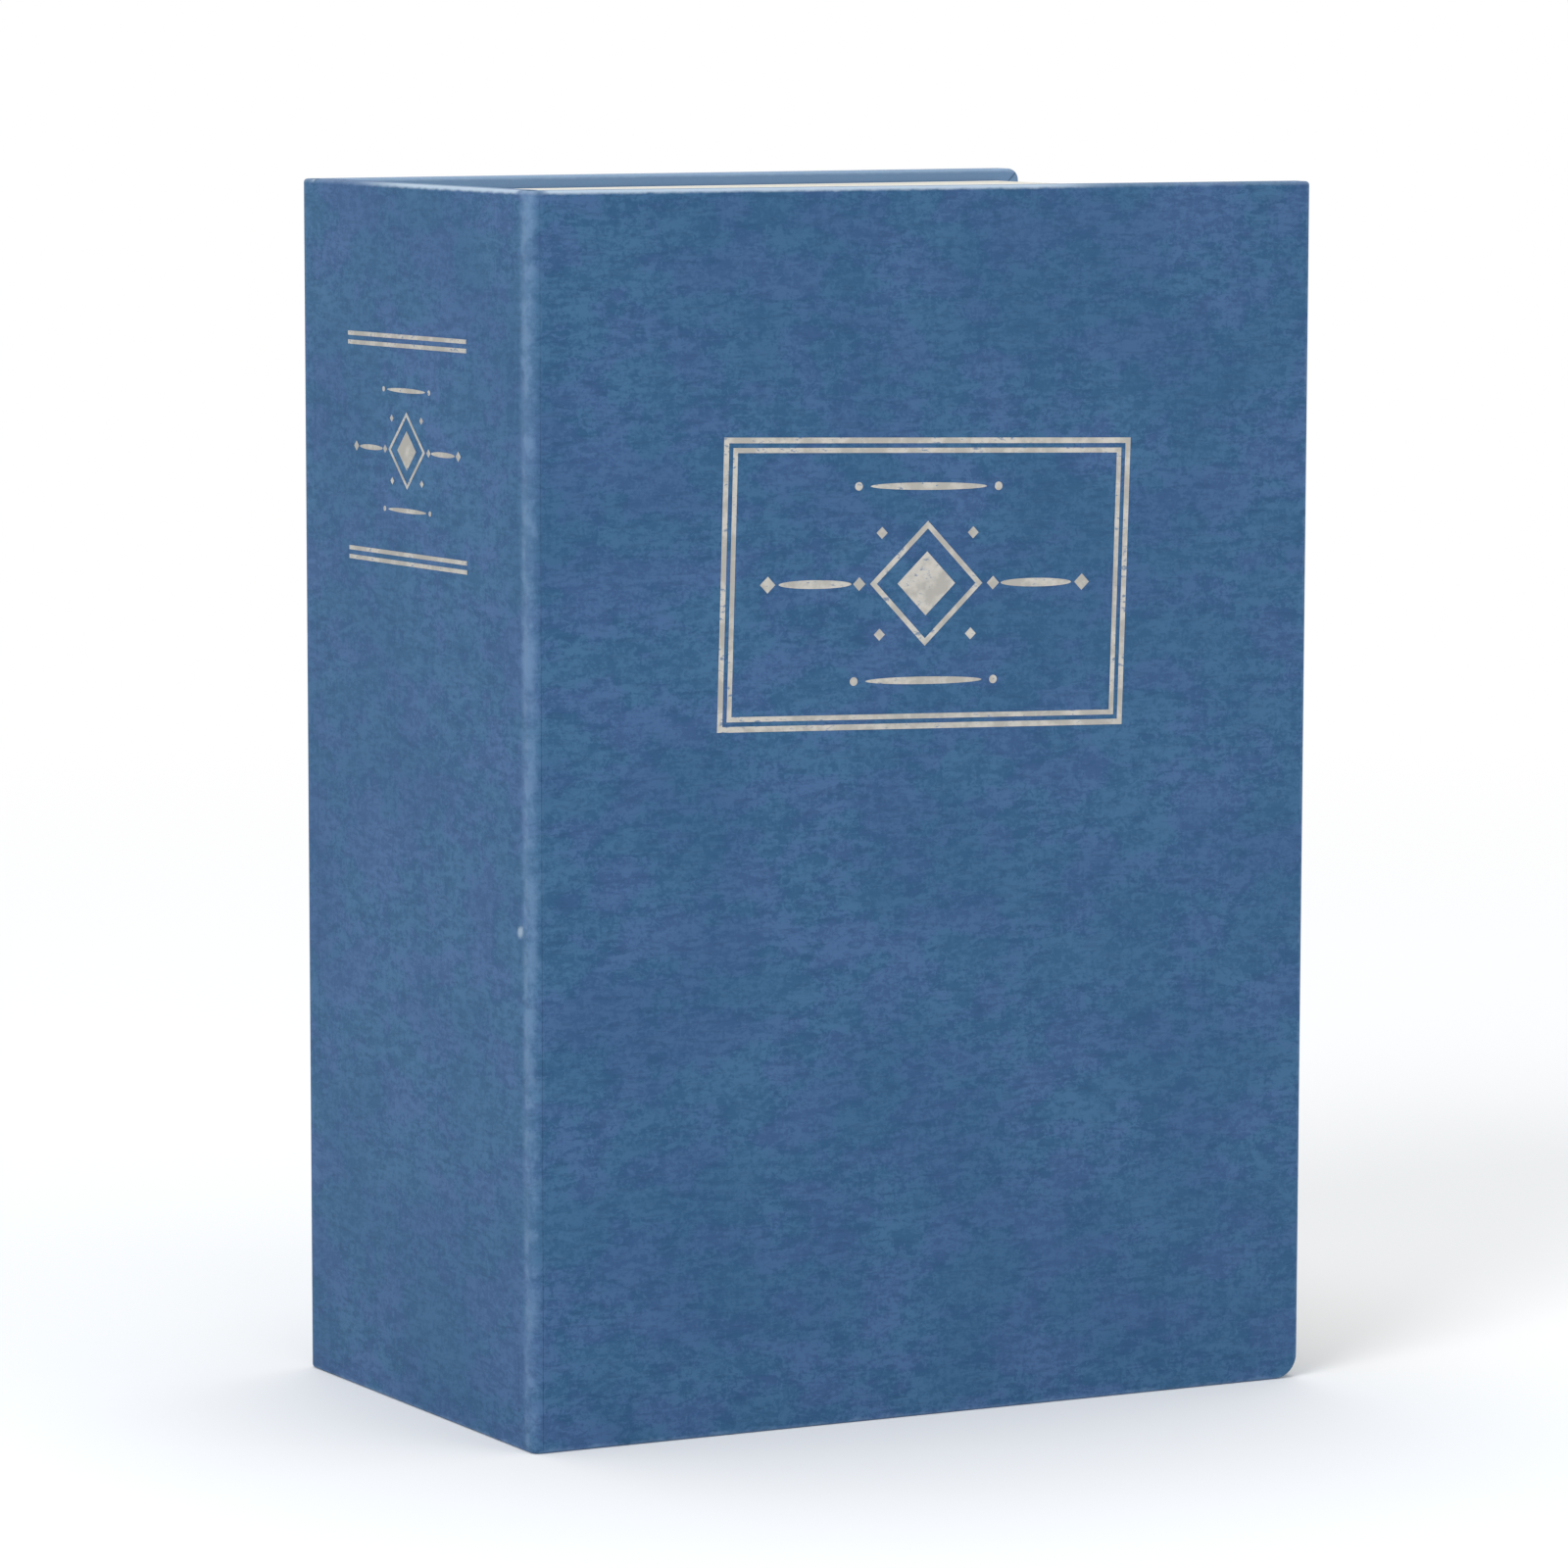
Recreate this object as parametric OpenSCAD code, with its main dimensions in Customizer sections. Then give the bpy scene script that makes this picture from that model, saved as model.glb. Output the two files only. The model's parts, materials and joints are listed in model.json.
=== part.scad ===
// Money box disguised as a small clothbound book, standing on its foot with the front cover ajar.
// X runs from the spine to the fore-edge, Y from the front cover to the back cover, Z up.
// The origin is the middle of the foot of the space that the book takes up.

/* [Book] */
// Height of the covers
book_h = 115; // [90:1:220]
// Width from the outside of the spine to the covers' fore-edges
book_w = 80; // [70:1:160]
// Thickness over both covers
book_d = 45; // [38:1:70]
// Angle at which the front cover stands ajar
cover_ajar = 6; // [0:1:20]
// Overhang of the covers past the page block at head and foot
head_square = 1.2; // [0.8:0.1:3]
// Overhang of the covers past the page block at the fore-edge
fore_square = 2; // [0.8:0.1:4]

/* [Case] */
// Thickness of the cover and spine boards
board_t = 2; // [1.5:0.1:3]
// Thickness of the covering cloth
cloth_t = 0.3; // [0.2:0.05:0.5]
// Thickness of the lining paper
lining_t = 0.2; // [0.1:0.05:0.3]
// Width of the cloth turned in over the edges of the boards
turn_in = 12; // [6:1:20]
// Bare cloth left around the lining paper
lining_margin = 3; // [1:0.5:5]
// Outer radius of the folds between covers and spine
fold_r = 1; // [0.8:0.1:1.6]
// Clearance between a cover and the spine board at a fold
fold_clear = 0.2; // [0.1:0.05:0.5]
// Radius of the covers' fore corners at the head
head_corner_r = 1; // [0.6:0.1:4]
// Radius of the covers' fore corners at the foot
foot_corner_r = 2.2; // [0.6:0.1:4]

/* [Page block] */
// Clearance between the page block and the shut front cover
cover_gap = 0.4; // [0.2:0.1:1]
// Clearance between the page block and the lined spine
spine_gap = 0.5; // [0.3:0.1:1.5]
// Wall of the moulded page block
block_wall = 1.6; // [1:0.1:2.4]
// Width of the rim around the lid
rim_w = 3; // [2:0.1:6]
// Thickness of the rim around the lid
rim_t = 1.2; // [0.8:0.1:1.5]
// Radius of the page block's upright corners
block_corner_r = 0.8; // [0.4:0.1:2]
// Distance from one page groove to the next
page_pitch = 1.3; // [0.8:0.1:3]
// Width of a page groove
groove_w = 0.4; // [0.2:0.05:0.6]
// Depth of a page groove
groove_d = 0.2; // [0.1:0.05:0.4]
// Thickness of the ribs that locate the tray
rib_t = 1.2; // [0.8:0.1:2]
// Ribs on each of the head and tail walls
end_ribs = 4; // [2:1:8]

/* [Tray and lid] */
// Thickness of the steel sheet
sheet_t = 0.8; // [0.5:0.1:1.2]
// Outer radius of the tray's bends
tray_bend_r = 1.8; // [1.4:0.1:3]
// Outer radius of the lid's bends
lid_bend_r = 1.3; // [1.3:0.1:2]
// Depth of the lid's turned-down edges
lid_flange = 5; // [3:0.5:7]
// Depth of the lid's face below the rim
lid_recess = 1.5; // [1.3:0.1:3]
// Clearance between the lid and the rim around it
lid_clear = 0.5; // [0.3:0.1:1]
// Clearance between the lid's turned-down edges and the tray
wall_clear = 0.3; // [0.2:0.1:0.8]
// Clearance under the shut lid
seat_clear = 0.1; // [0.05:0.05:0.3]
// Width of the tabs that close the tray's upright corners
corner_tab = 8; // [4:0.5:12]

/* [Hinge] */
// Radius of the hinge pin
pin_r = 0.75; // [0.5:0.05:1]
// Running clearance around the hinge pin
pin_clear = 0.05; // [0.02:0.01:0.1]
// Thickness of the hinge leaves
leaf_t = 0.6; // [0.4:0.1:1]
// Length of the hinge
hinge_len = 90; // [60:1:95]
// Knuckles along the hinge, an odd number
knuckles = 9; // [5:2:11]
// Gap between neighbouring knuckles
knuckle_gap = 0.3; // [0.2:0.1:0.6]
// Depth of the tray leaf behind the pin
tray_leaf_w = 11; // [9:0.5:16]
// Width of the lid leaf beside the pin
lid_leaf_w = 10; // [8:0.5:14]
// Rivets in each leaf
rivets = 5; // [3:1:7]
// Radius of the rivets' shanks
rivet_r = 1; // [0.8:0.1:1.2]
// Radius of the rivets' heads
rivet_head_r = 1.8; // [1.6:0.1:2.2]
// Height of the rivets' heads
rivet_head_h = 0.6; // [0.4:0.1:0.9]

/* [Lock] */
// Distance from the lid's fore-edge to the lock's axis
lock_set = 12.5; // [11.5:0.5:16]
// Radius of the lock's flange
flange_r = 7.5; // [7:0.1:9]
// Height of the lock's flange above the lid
flange_h = 1.1; // [0.8:0.1:1.2]
// Radius of the lock housing
housing_r = 5.5; // [5.2:0.1:6]
// Width across the two flats of the lock housing
housing_flats = 9.6; // [9.4:0.1:10]
// Length of the lock housing behind the lid
housing_len = 9; // [7:0.5:13]
// Radius of the lock plug
plug_r = 3.9; // [3.4:0.1:4]
// Radius of the plug's head
plug_head_r = 4.6; // [4.4:0.1:4.8]
// Width of the keyway
keyway_w = 1.4; // [1:0.1:1.8]
// Height of the keyway
keyway_h = 5.6; // [4:0.1:6]
// Depth of the keyway
keyway_d = 7; // [4:0.5:8]
// Width across the hex nut's flats
nut_flats = 14; // [13:0.5:15]
// Thickness of the hex nut
nut_t = 2.5; // [2:0.1:4]
// Radius of the spring washer
washer_r = 7; // [6.6:0.1:7.5]
// Thickness of the spring washer
washer_t = 0.5; // [0.3:0.1:0.8]
// Width of the cam
cam_w = 8; // [7:0.5:9]
// Thickness of the cam
cam_t = 1.5; // [1:0.1:2]
// How far the turned cam reaches past the tray's wall
cam_throw = 1; // [0.6:0.1:1.4]
// Width of the plug's square tail
tail_w = 4; // [3.6:0.1:4.4]
// Radius of the cam screw's head
screw_head_r = 3.2; // [2.8:0.1:3.6]
// Height of the cam screw's head
screw_head_h = 1.6; // [1.2:0.1:2]
// Radius of the cam screw's shank
screw_r = 1.25; // [1:0.05:1.5]
// Thickness of the disc that stops the plug's turn
stop_t = 0.8; // [0.6:0.1:1.2]
// Wafers in the plug
wafers = 4; // [3:1:5]
// Thickness of a wafer
wafer_t = 0.7; // [0.5:0.05:0.8]
// Width of a wafer
wafer_w = 4.6; // [4:0.1:5]
// Clearance between fitted parts of the lock
lock_clear = 0.05; // [0.02:0.01:0.1]

/* [Hidden] */
$fn = 64;

CLOTH = [0.25, 0.40, 0.56];
BOARD = [0.62, 0.60, 0.56];
PAPER = [0.90, 0.88, 0.83];
BLACK = [0.12, 0.12, 0.13];
ZINC = [0.72, 0.73, 0.74];
CHROME = [0.85, 0.85, 0.86];
BRASS = [0.72, 0.58, 0.30];

// A cover's thickness with its cloth, and with its lining too
cover_t = board_t + 2 * cloth_t;
lined_t = cover_t + lining_t;
board_top = cloth_t + board_t;
spine_start = cover_t + fold_clear;

// Middle of the foot, with the ajar cover counted in
foot_mid_x = book_w / 2;
foot_mid_y = (book_d - book_w * sin(cover_ajar)) / 2;

// Page block
block_x0 = lined_t + spine_gap;
block_x1 = book_w - fore_square;
block_y0 = lined_t + cover_gap;
block_y1 = book_d - lined_t;
block_z0 = head_square;
block_z1 = book_h - head_square;
page_grooves = floor((block_y1 - block_y0 - rim_t) / page_pitch - 0.5);

// Hinge: the leaves lie a little inside the knuckles' tangent planes
knuckle_r = pin_r + pin_clear + leaf_t;
leaf_set = knuckle_r - 0.05;
roll_seam = 0.12;
knuckle_len = hinge_len / knuckles;
hinge_z0 = (book_h - hinge_len) / 2;
pin_head_t = 0.5;
pin_head_r = pin_r + 0.3;

// Lid and tray, from the front inwards
lid_y = block_y0 + lid_recess;
lid_in = lid_y + sheet_t;
rim_y = lid_in + seat_clear;
pin_x = block_x0 + knuckle_r;
pin_y = lid_in + leaf_set;
lid_x0 = pin_x + knuckle_r;
lid_x1 = block_x1 - rim_w - lid_clear;
lid_z0 = block_z0 + rim_w + lid_clear;
lid_z1 = book_h - lid_z0;
flange_y = lid_y + lid_flange;
tray_x0 = pin_x + leaf_set;
tray_x1 = lid_x1 - sheet_t - wall_clear;
tray_z0 = lid_z0 + sheet_t + wall_clear;
tray_z1 = book_h - tray_z0;
tray_y1 = block_y1;
corner_gap = 0.15;
tab_bend_r = sheet_t + 0.5;
lining_tuck = 0.4;
rib_end_clear = 4;

// Rivets, at half the width of each leaf's flat
leaf_clear = 0.3;
flat_start = knuckle_r + leaf_clear;
rivet_pitch = hinge_len / rivets;
rivet_clear = 0.05;
tray_rivet_y = pin_y + (flat_start + tray_leaf_w) / 2;
lid_rivet_x = pin_x + (flat_start + lid_leaf_w) / 2;

// Lock: local z runs into the box from the lid's face
lock_x = lid_x1 - lock_set;
lock_z = book_h / 2;
housing_end = sheet_t + housing_len;
plug_head_t = 0.6;
plug_turn = 90;
stop_tooth = 60;
stop_play = 2;
stop_start = 180 - plug_turn / 2;
stop_hub_r = plug_r + 0.1;
wafer_z0 = plug_head_t + 0.6;
wafer_pitch = 2 * wafer_t + 2 * lock_clear;
cam_z = housing_end + stop_t + 0.2;
tail_end = cam_z + cam_t - 0.2;
thread_len = 3.5;
cam_reach = tray_x1 + cam_throw - lock_x;
cam_y = lid_y + cam_z;
slot_clear = 0.6;
slot_half = sqrt(pow(cam_reach, 2) - pow(tray_x1 - sheet_t - lock_x, 2)) + slot_clear;
slot_rib_gap = 2;

// Placing

module placed() {
    translate([-foot_mid_x, -foot_mid_y, 0]) children();
}

// The front cover is drawn shut and then turned about its fold
module on_front() {
    placed() rotate([0, 0, -cover_ajar]) children();
}

// The spine is drawn like a cover lying along X and then swapped onto Y
module on_spine() {
    placed() mirror([1, -1, 0]) children();
}

module on_back() {
    placed() translate([0, book_d, 0]) mirror([0, 1, 0]) children();
}

module at_lock() {
    placed() translate([lock_x, lid_y, lock_z]) rotate([-90, 0, 0]) children();
}

// An outline drawn in x and z, made solid from y0 inwards
module along_y(y0, length) {
    translate([0, y0 + length, 0]) rotate([90, 0, 0]) linear_extrude(length) children();
}

// An outline drawn in y and z, made solid from x0 towards the fore-edge
module along_x(x0, length) {
    translate([x0, 0, 0]) rotate([90, 0, 90]) linear_extrude(length) children();
}

module along_z(z0, length) {
    translate([0, 0, z0]) linear_extrude(length) children();
}

module rect(x0, x1, y0, y1) {
    translate([x0, y0]) square([x1 - x0, y1 - y0]);
}

module box(x0, x1, y0, y1, z0, z1) {
    translate([x0, y0, z0]) cube([x1 - x0, y1 - y0, z1 - z0]);
}

// Case: boards, cloth and lining, drawn with the outer face at y = 0

// Outline of a cover from u0 to its fore-edge, drawn in by inset, with rounded fore corners
module cover_outline(u0, inset) {
    u1 = book_w - inset;
    z0 = inset;
    z1 = book_h - inset;
    foot_r = foot_corner_r - inset;
    head_r = head_corner_r - inset;
    union() {
        rect(u0, u1 - foot_r, z0, z1 - head_r);
        rect(u0, u1 - head_r, z0 + foot_r, z1);
        rect(u0, u1, z0 + foot_r, z1 - head_r);
        translate([u1 - foot_r, z0 + foot_r]) circle(r = foot_r);
        translate([u1 - head_r, z1 - head_r]) circle(r = head_r);
    }
}

module spine_outline(inset) {
    rect(spine_start, book_d - spine_start, inset, book_h - inset);
}

// Half of the rounded fold, from its middle to the flat of the cover
module fold_half() {
    slit = 0.04;
    along_z(0, book_h) intersection() {
        translate([fold_r, fold_r]) difference() {
            circle(r = fold_r);
            circle(r = fold_r - cloth_t);
        }
        polygon([[slit, 0], [fold_r, 0], [fold_r, fold_r - slit]]);
    }
}

module cover_board() {
    along_y(cloth_t, board_t) cover_outline(fold_r, cloth_t);
}

// Cloth around a cover's board: outer sheet, wrapped edges and turn-ins
module cover_cloth() {
    difference() {
        union() {
            along_y(0, cover_t) cover_outline(fold_r, 0);
            fold_half();
        }
        cover_board();
        box(fold_r, book_w - turn_in, board_top - cloth_t, cover_t + 1, turn_in, book_h - turn_in);
    }
}

// Lining paper that steps down from the turn-ins to the bare board
module stepped_paper(u0, u1, window_u1, margin) {
    far = window_u1 - lining_t;
    low = turn_in + lining_t;
    difference() {
        box(u0, u1, board_top, lined_t, margin, book_h - margin);
        difference() {
            box(u0 - 1, u1 + 1, board_top - 1, cover_t, 0, book_h);
            box(u0 - 2, window_u1, board_top - 2, cover_t + 1, turn_in, book_h - turn_in);
        }
        box(u0 - 1, far, board_top + lining_t, lined_t + 1, low, book_h - low);
    }
}

module front_board() {
    color(BOARD) on_front() cover_board();
}

module front_cloth() {
    color(CLOTH) on_front() cover_cloth();
}

module front_lining() {
    color(PAPER) on_front()
        stepped_paper(block_x0, book_w - lining_margin, book_w - turn_in, lining_margin);
}

module back_board() {
    color(BOARD) on_back() cover_board();
}

module back_cloth() {
    color(CLOTH) on_back() cover_cloth();
}

// The page block is glued over the edges of this paper
module back_lining() {
    color(PAPER) on_back()
        stepped_paper(block_x0, block_x1 - lining_tuck, book_w - turn_in, head_square + lining_tuck);
}

module spine_board_solid() {
    along_y(cloth_t, board_t) spine_outline(cloth_t);
}

module spine_board() {
    color(BOARD) on_spine() spine_board_solid();
}

module spine_cloth() {
    color(CLOTH) on_spine() difference() {
        union() {
            along_y(0, cover_t) spine_outline(0);
            box(fold_r, book_d - fold_r, 0, cloth_t, 0, book_h);
            fold_half();
            translate([book_d, 0, 0]) mirror([1, 0, 0]) fold_half();
        }
        spine_board_solid();
        box(0, book_d, board_top - cloth_t, cover_t + 1, turn_in, book_h - turn_in);
    }
}

module spine_lining() {
    u0 = block_y0;
    u1 = book_d - block_y0;
    color(PAPER) on_spine() stepped_paper(u0, u1, u1 + 1, lining_margin);
}

// Page block: a moulded frame, open towards the spine, grooved like page edges

module block_outline(inset) {
    r = block_corner_r;
    x1 = block_x1 - inset;
    z0 = block_z0 + inset;
    z1 = block_z1 - inset;
    union() {
        rect(block_x0, x1 - r, z0, z1);
        rect(block_x0, x1, z0 + r, z1 - r);
        translate([x1 - r, z0 + r]) circle(r = r);
        translate([x1 - r, z1 - r]) circle(r = r);
    }
}

module block_frame(wall) {
    difference() {
        block_outline(0);
        rect(block_x0 - 1, block_x1 - wall, block_z0 + wall, block_z1 - wall);
    }
}

module page_groove(y) {
    along_y(y, groove_w) difference() {
        rect(block_x0 - 1, block_x1 + 1, block_z0 - 1, block_z1 + 1);
        block_outline(groove_d);
        rect(block_x0 - 2, block_x0, block_z0 + groove_d, block_z1 - groove_d);
    }
}

// Ribs between the block's walls and the tray, behind the lid's turned-down edges
module block_ribs() {
    rib_y = flange_y + 1;
    rib_len = block_y1 - rib_y;
    step = (tray_x1 - tray_x0 - tray_bend_r) / end_ribs;
    for (i = [0 : end_ribs - 1]) {
        x = tray_x0 + tray_bend_r + step * (i + 0.5);
        along_y(rib_y, rib_len) rect(x - rib_t / 2, x + rib_t / 2, block_z0 + block_wall / 2, tray_z0);
        along_y(rib_y, rib_len) rect(x - rib_t / 2, x + rib_t / 2, tray_z1, block_z1 - block_wall / 2);
    }
    near = slot_half + slot_rib_gap;
    far = (tray_z1 - tray_z0) / 2 - tray_bend_r - rib_end_clear;
    for (side = [-1, 1], offset = [near, (near + far) / 2, far]) {
        z = lock_z + side * offset;
        along_y(rib_y, rib_len) rect(tray_x1, block_x1 - block_wall / 2, z - rib_t / 2, z + rib_t / 2);
    }
}

module page_block() {
    color(PAPER) placed() {
        difference() {
            along_y(block_y0, block_y1 - block_y0) block_frame(block_wall);
            for (i = [1 : page_grooves]) page_groove(block_y0 + rim_t + page_pitch * (i - 0.5));
        }
        along_y(block_y0, rim_t) block_frame(rim_w);
        block_ribs();
    }
}

// Tray folded from one sheet, open to the front

// Section of a channel whose two bends lie at y1
module rounded_floor(x0, x1, y0, y1, r) {
    union() {
        rect(x0, x1, y0, y1 - r);
        rect(x0 + r, x1 - r, y1 - r - 1, y1);
        translate([x0 + r, y1 - r]) circle(r = r);
        translate([x1 - r, y1 - r]) circle(r = r);
    }
}

module channel(x0, x1, y0, y1, r, t) {
    difference() {
        rounded_floor(x0, x1, y0, y1, r);
        rounded_floor(x0 + t, x1 - t, y0 - 1, y1 - t, r - t);
    }
}

// Section in y and z of the two end walls and their bends
module end_channel(z0, z1, y0, y1, r, t) {
    mirror([1, -1]) channel(z0, z1, y0, y1, r, t);
}

module knuckle_notches() {
    for (i = [1 : 2 : knuckles - 1]) {
        z = hinge_z0 + knuckle_len * i;
        box(tray_x0 - 1, tray_x0 + sheet_t + 1, rim_y - 1, pin_y + flat_start,
            z - leaf_clear, z + knuckle_len + leaf_clear);
    }
}

module rivet_holes_along_x(x, y, depth) {
    for (i = [0 : rivets - 1]) {
        translate([x, y, hinge_z0 + rivet_pitch * (i + 0.5)]) rotate([0, 90, 0])
            cylinder(r = rivet_r + rivet_clear, h = depth);
    }
}

module rivet_holes_along_y(x, y, depth) {
    for (i = [0 : rivets - 1]) {
        translate([x, y, hinge_z0 + rivet_pitch * (i + 0.5)]) rotate([-90, 0, 0])
            cylinder(r = rivet_r + rivet_clear, h = depth);
    }
}

// Section in x and z of both end walls with their corner tabs
module end_walls() {
    in_x0 = tray_x0 + sheet_t + corner_gap;
    in_x1 = tray_x1 - sheet_t - corner_gap;
    translate([0, tray_z1 - corner_tab]) channel(in_x0, in_x1, 0, corner_tab, tab_bend_r, sheet_t);
    translate([0, tray_z0 + corner_tab]) mirror([0, 1])
        channel(in_x0, in_x1, 0, corner_tab, tab_bend_r, sheet_t);
}

module tray() {
    r = tray_bend_r;
    // The spine wall ends below the widest part of the knuckles
    spine_rim_y = pin_y + sqrt(pow(knuckle_r, 2) - pow(leaf_set, 2)) + 0.1;
    color(BLACK) placed() difference() {
        union() {
            difference() {
                along_z(tray_z0, tray_z1 - tray_z0) channel(tray_x0, tray_x1, rim_y, tray_y1, r, sheet_t);
                for (z = [tray_z0 - 1, tray_z1 - r]) {
                    box(tray_x0 + r, tray_x1 - r, tray_y1 - sheet_t - 1, tray_y1 + 1, z, z + r + 1);
                }
            }
            along_x(tray_x0 + r, tray_x1 - tray_x0 - 2 * r)
                end_channel(tray_z0, tray_z1, rim_y, tray_y1, r, sheet_t);
            along_y(rim_y, tray_y1 - r - rim_y) end_walls();
        }
        box(tray_x0 - 1, tray_x0 + sheet_t + corner_gap, rim_y - 1, spine_rim_y, 0, book_h);
        box(tray_x0 - 1, tray_x0 + 2 * sheet_t + 1, rim_y - 1, spine_rim_y,
            hinge_z0 - 1, hinge_z0 + hinge_len + 1);
        knuckle_notches();
        rivet_holes_along_x(tray_x0 - 1, tray_rivet_y, sheet_t + 2);
        box(tray_x1 - sheet_t - 1, tray_x1 + 1, cam_y - slot_clear, cam_y + cam_t + slot_clear,
            lock_z - slot_half, lock_z + slot_half);
    }
}

// Hinge

// Section of a leaf rolled around the pin, with a seam where the roll ends; the flat runs along +y
module knuckle_section(flat_w) {
    difference() {
        union() {
            circle(r = knuckle_r);
            rect(leaf_set - leaf_t, leaf_set, 0, flat_w);
        }
        circle(r = pin_r + pin_clear);
        rect(leaf_set - leaf_t - roll_seam, leaf_set - leaf_t, pin_r / 2, flat_w + 1);
    }
}

// Leaf with its knuckles from first on, every second one
module hinge_leaf(flat_w, first) {
    along_z(hinge_z0, hinge_len) rect(leaf_set - leaf_t, leaf_set, flat_start, flat_w);
    for (i = [first : 2 : knuckles - 1]) {
        along_z(hinge_z0 + knuckle_len * i + knuckle_gap / 2, knuckle_len - knuckle_gap)
            knuckle_section(flat_start + 1);
    }
}

module tray_leaf() {
    color(ZINC) placed() difference() {
        translate([pin_x, pin_y, 0]) hinge_leaf(tray_leaf_w, 0);
        rivet_holes_along_x(tray_x0 - 2, tray_rivet_y, 4);
    }
}

module lid_leaf() {
    color(ZINC) placed() difference() {
        translate([pin_x, pin_y, 0]) rotate([0, 0, -90]) hinge_leaf(lid_leaf_w, 1);
        rivet_holes_along_y(lid_rivet_x, lid_y - 1, 4);
    }
}

module hinge_pin() {
    over = knuckle_gap;
    color(ZINC) placed() translate([pin_x, pin_y, hinge_z0]) {
        translate([0, 0, -over]) cylinder(r = pin_r, h = hinge_len + 2 * over);
        translate([0, 0, -over - pin_head_t]) cylinder(r = pin_head_r, h = pin_head_t);
        translate([0, 0, hinge_len + over]) cylinder(r = pin_head_r, h = pin_head_t);
    }
}

// Rivet through a grip that starts at z = 0, with a low domed head at each end
module rivet(grip) {
    dome_r = (pow(rivet_head_r, 2) + pow(rivet_head_h, 2)) / (2 * rivet_head_h);
    for (flip = [0, 1]) {
        translate([0, 0, flip * grip]) mirror([0, 0, 1 - flip]) rotate_extrude() intersection() {
            rect(0, rivet_head_r, 0, rivet_head_h);
            translate([0, rivet_head_h - dome_r]) circle(r = dome_r, $fn = 96);
        }
    }
    cylinder(r = rivet_r, h = grip);
}

module tray_rivets() {
    color(ZINC) placed() for (i = [0 : rivets - 1]) {
        translate([tray_x0 - leaf_t, tray_rivet_y, hinge_z0 + rivet_pitch * (i + 0.5)]) rotate([0, 90, 0])
            rivet(leaf_t + sheet_t);
    }
}

module lid_rivets() {
    color(ZINC) placed() for (i = [0 : rivets - 1]) {
        translate([lid_rivet_x, lid_y, hinge_z0 + rivet_pitch * (i + 0.5)]) rotate([-90, 0, 0])
            rivet(leaf_t + sheet_t);
    }
}

// Lid: a plate with its head, tail and fore edges turned down

module lid() {
    r = lid_bend_r;
    fore_z0 = lid_z0 + sheet_t + corner_gap;
    fore_z1 = lid_z1 - sheet_t - corner_gap;
    color(BLACK) placed() difference() {
        union() {
            // Plate with the head and tail edges; the section's bends lie at the lid's face
            along_x(lid_x0, lid_x1 - r - lid_x0) translate([lid_y + flange_y, 0]) mirror([1, 0])
                end_channel(lid_z0, lid_z1, lid_y, flange_y, r, sheet_t);
            for (z = [lid_z0, lid_z1 - sheet_t]) {
                box(lid_x1 - r - 1, lid_x1, lid_y + r, flange_y, z, z + sheet_t);
            }
            // Fore edge
            along_z(lid_z0 + r, lid_z1 - lid_z0 - 2 * r) intersection() {
                translate([0, lid_y + flange_y]) mirror([0, 1])
                    channel(lid_x0, lid_x1, lid_y, flange_y, r, sheet_t);
                rect(lid_x1 - r - 1, lid_x1 + 1, lid_y, flange_y);
            }
            box(lid_x1 - sheet_t, lid_x1, lid_y + r, flange_y, fore_z0, fore_z1);
        }
        rivet_holes_along_y(lid_rivet_x, lid_y - 1, sheet_t + 2);
        translate([lock_x, lid_y - 1, lock_z]) rotate([-90, 0, 0])
            linear_extrude(sheet_t + 2) housing_section(lock_clear);
    }
}

// Lock: local z runs into the box, from the lid's face at z = 0

// Round section of the housing with a flat on either side
module housing_section(grow) {
    intersection() {
        circle(r = housing_r + grow);
        square([housing_flats + 2 * grow, 2 * housing_r + 1], center = true);
    }
}

// A wedge of the plane between two angles, far wider than the lock
module wedge(from, to) {
    steps = 6;
    reach = 20;
    turn = (to - from) / steps;
    polygon([[0, 0], for (i = [0 : steps]) reach * [cos(from + turn * i), sin(from + turn * i)]]);
}

module lock_housing() {
    bevel = 0.4;
    broach = 0.6;
    half_free = (stop_tooth + plug_turn) / 2 + stop_play;
    color(CHROME) at_lock() difference() {
        union() {
            rotate_extrude() polygon([
                [0, 0],
                [flange_r, 0],
                [flange_r, bevel - flange_h],
                [flange_r - bevel, -flange_h],
                [0, -flange_h]
            ]);
            linear_extrude(housing_end) housing_section(0);
            // Lug that the stop disc's tooth turns against
            translate([0, 0, housing_end - 1]) linear_extrude(stop_t + 1) difference() {
                intersection() {
                    housing_section(0);
                    wedge(half_free - 180, 180 - half_free);
                }
                circle(r = stop_hub_r + 0.2);
            }
        }
        translate([0, 0, -flange_h - 1]) cylinder(r = plug_r + lock_clear, h = flange_h + housing_end + 1);
        // Grooves that the wafers spring into when the plug is turned to locked
        translate([-wafer_w / 2 - 2 * lock_clear, -plug_r - broach, wafer_z0 - flange_h - 0.2])
            cube([wafer_w + 4 * lock_clear, 2 * (plug_r + broach), wafers * wafer_pitch + 0.4]);
        translate([0, 0, -flange_h - 1]) cylinder(r = plug_head_r + lock_clear, h = plug_head_t + 1);
    }
}

module lock_washer() {
    color(ZINC) at_lock() translate([0, 0, sheet_t]) difference() {
        cylinder(r = washer_r, h = washer_t);
        translate([0, 0, -1]) cylinder(r = housing_r + lock_clear, h = washer_t + 2);
        translate([0, -0.5, -1]) cube([washer_r + 1, 1, washer_t + 2]);
    }
}

module lock_nut() {
    color(ZINC) at_lock() translate([0, 0, sheet_t + washer_t]) difference() {
        cylinder(r = nut_flats / sqrt(3), h = nut_t, $fn = 6);
        translate([0, 0, -1]) cylinder(r = housing_r + lock_clear, h = nut_t + 2);
    }
}

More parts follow.
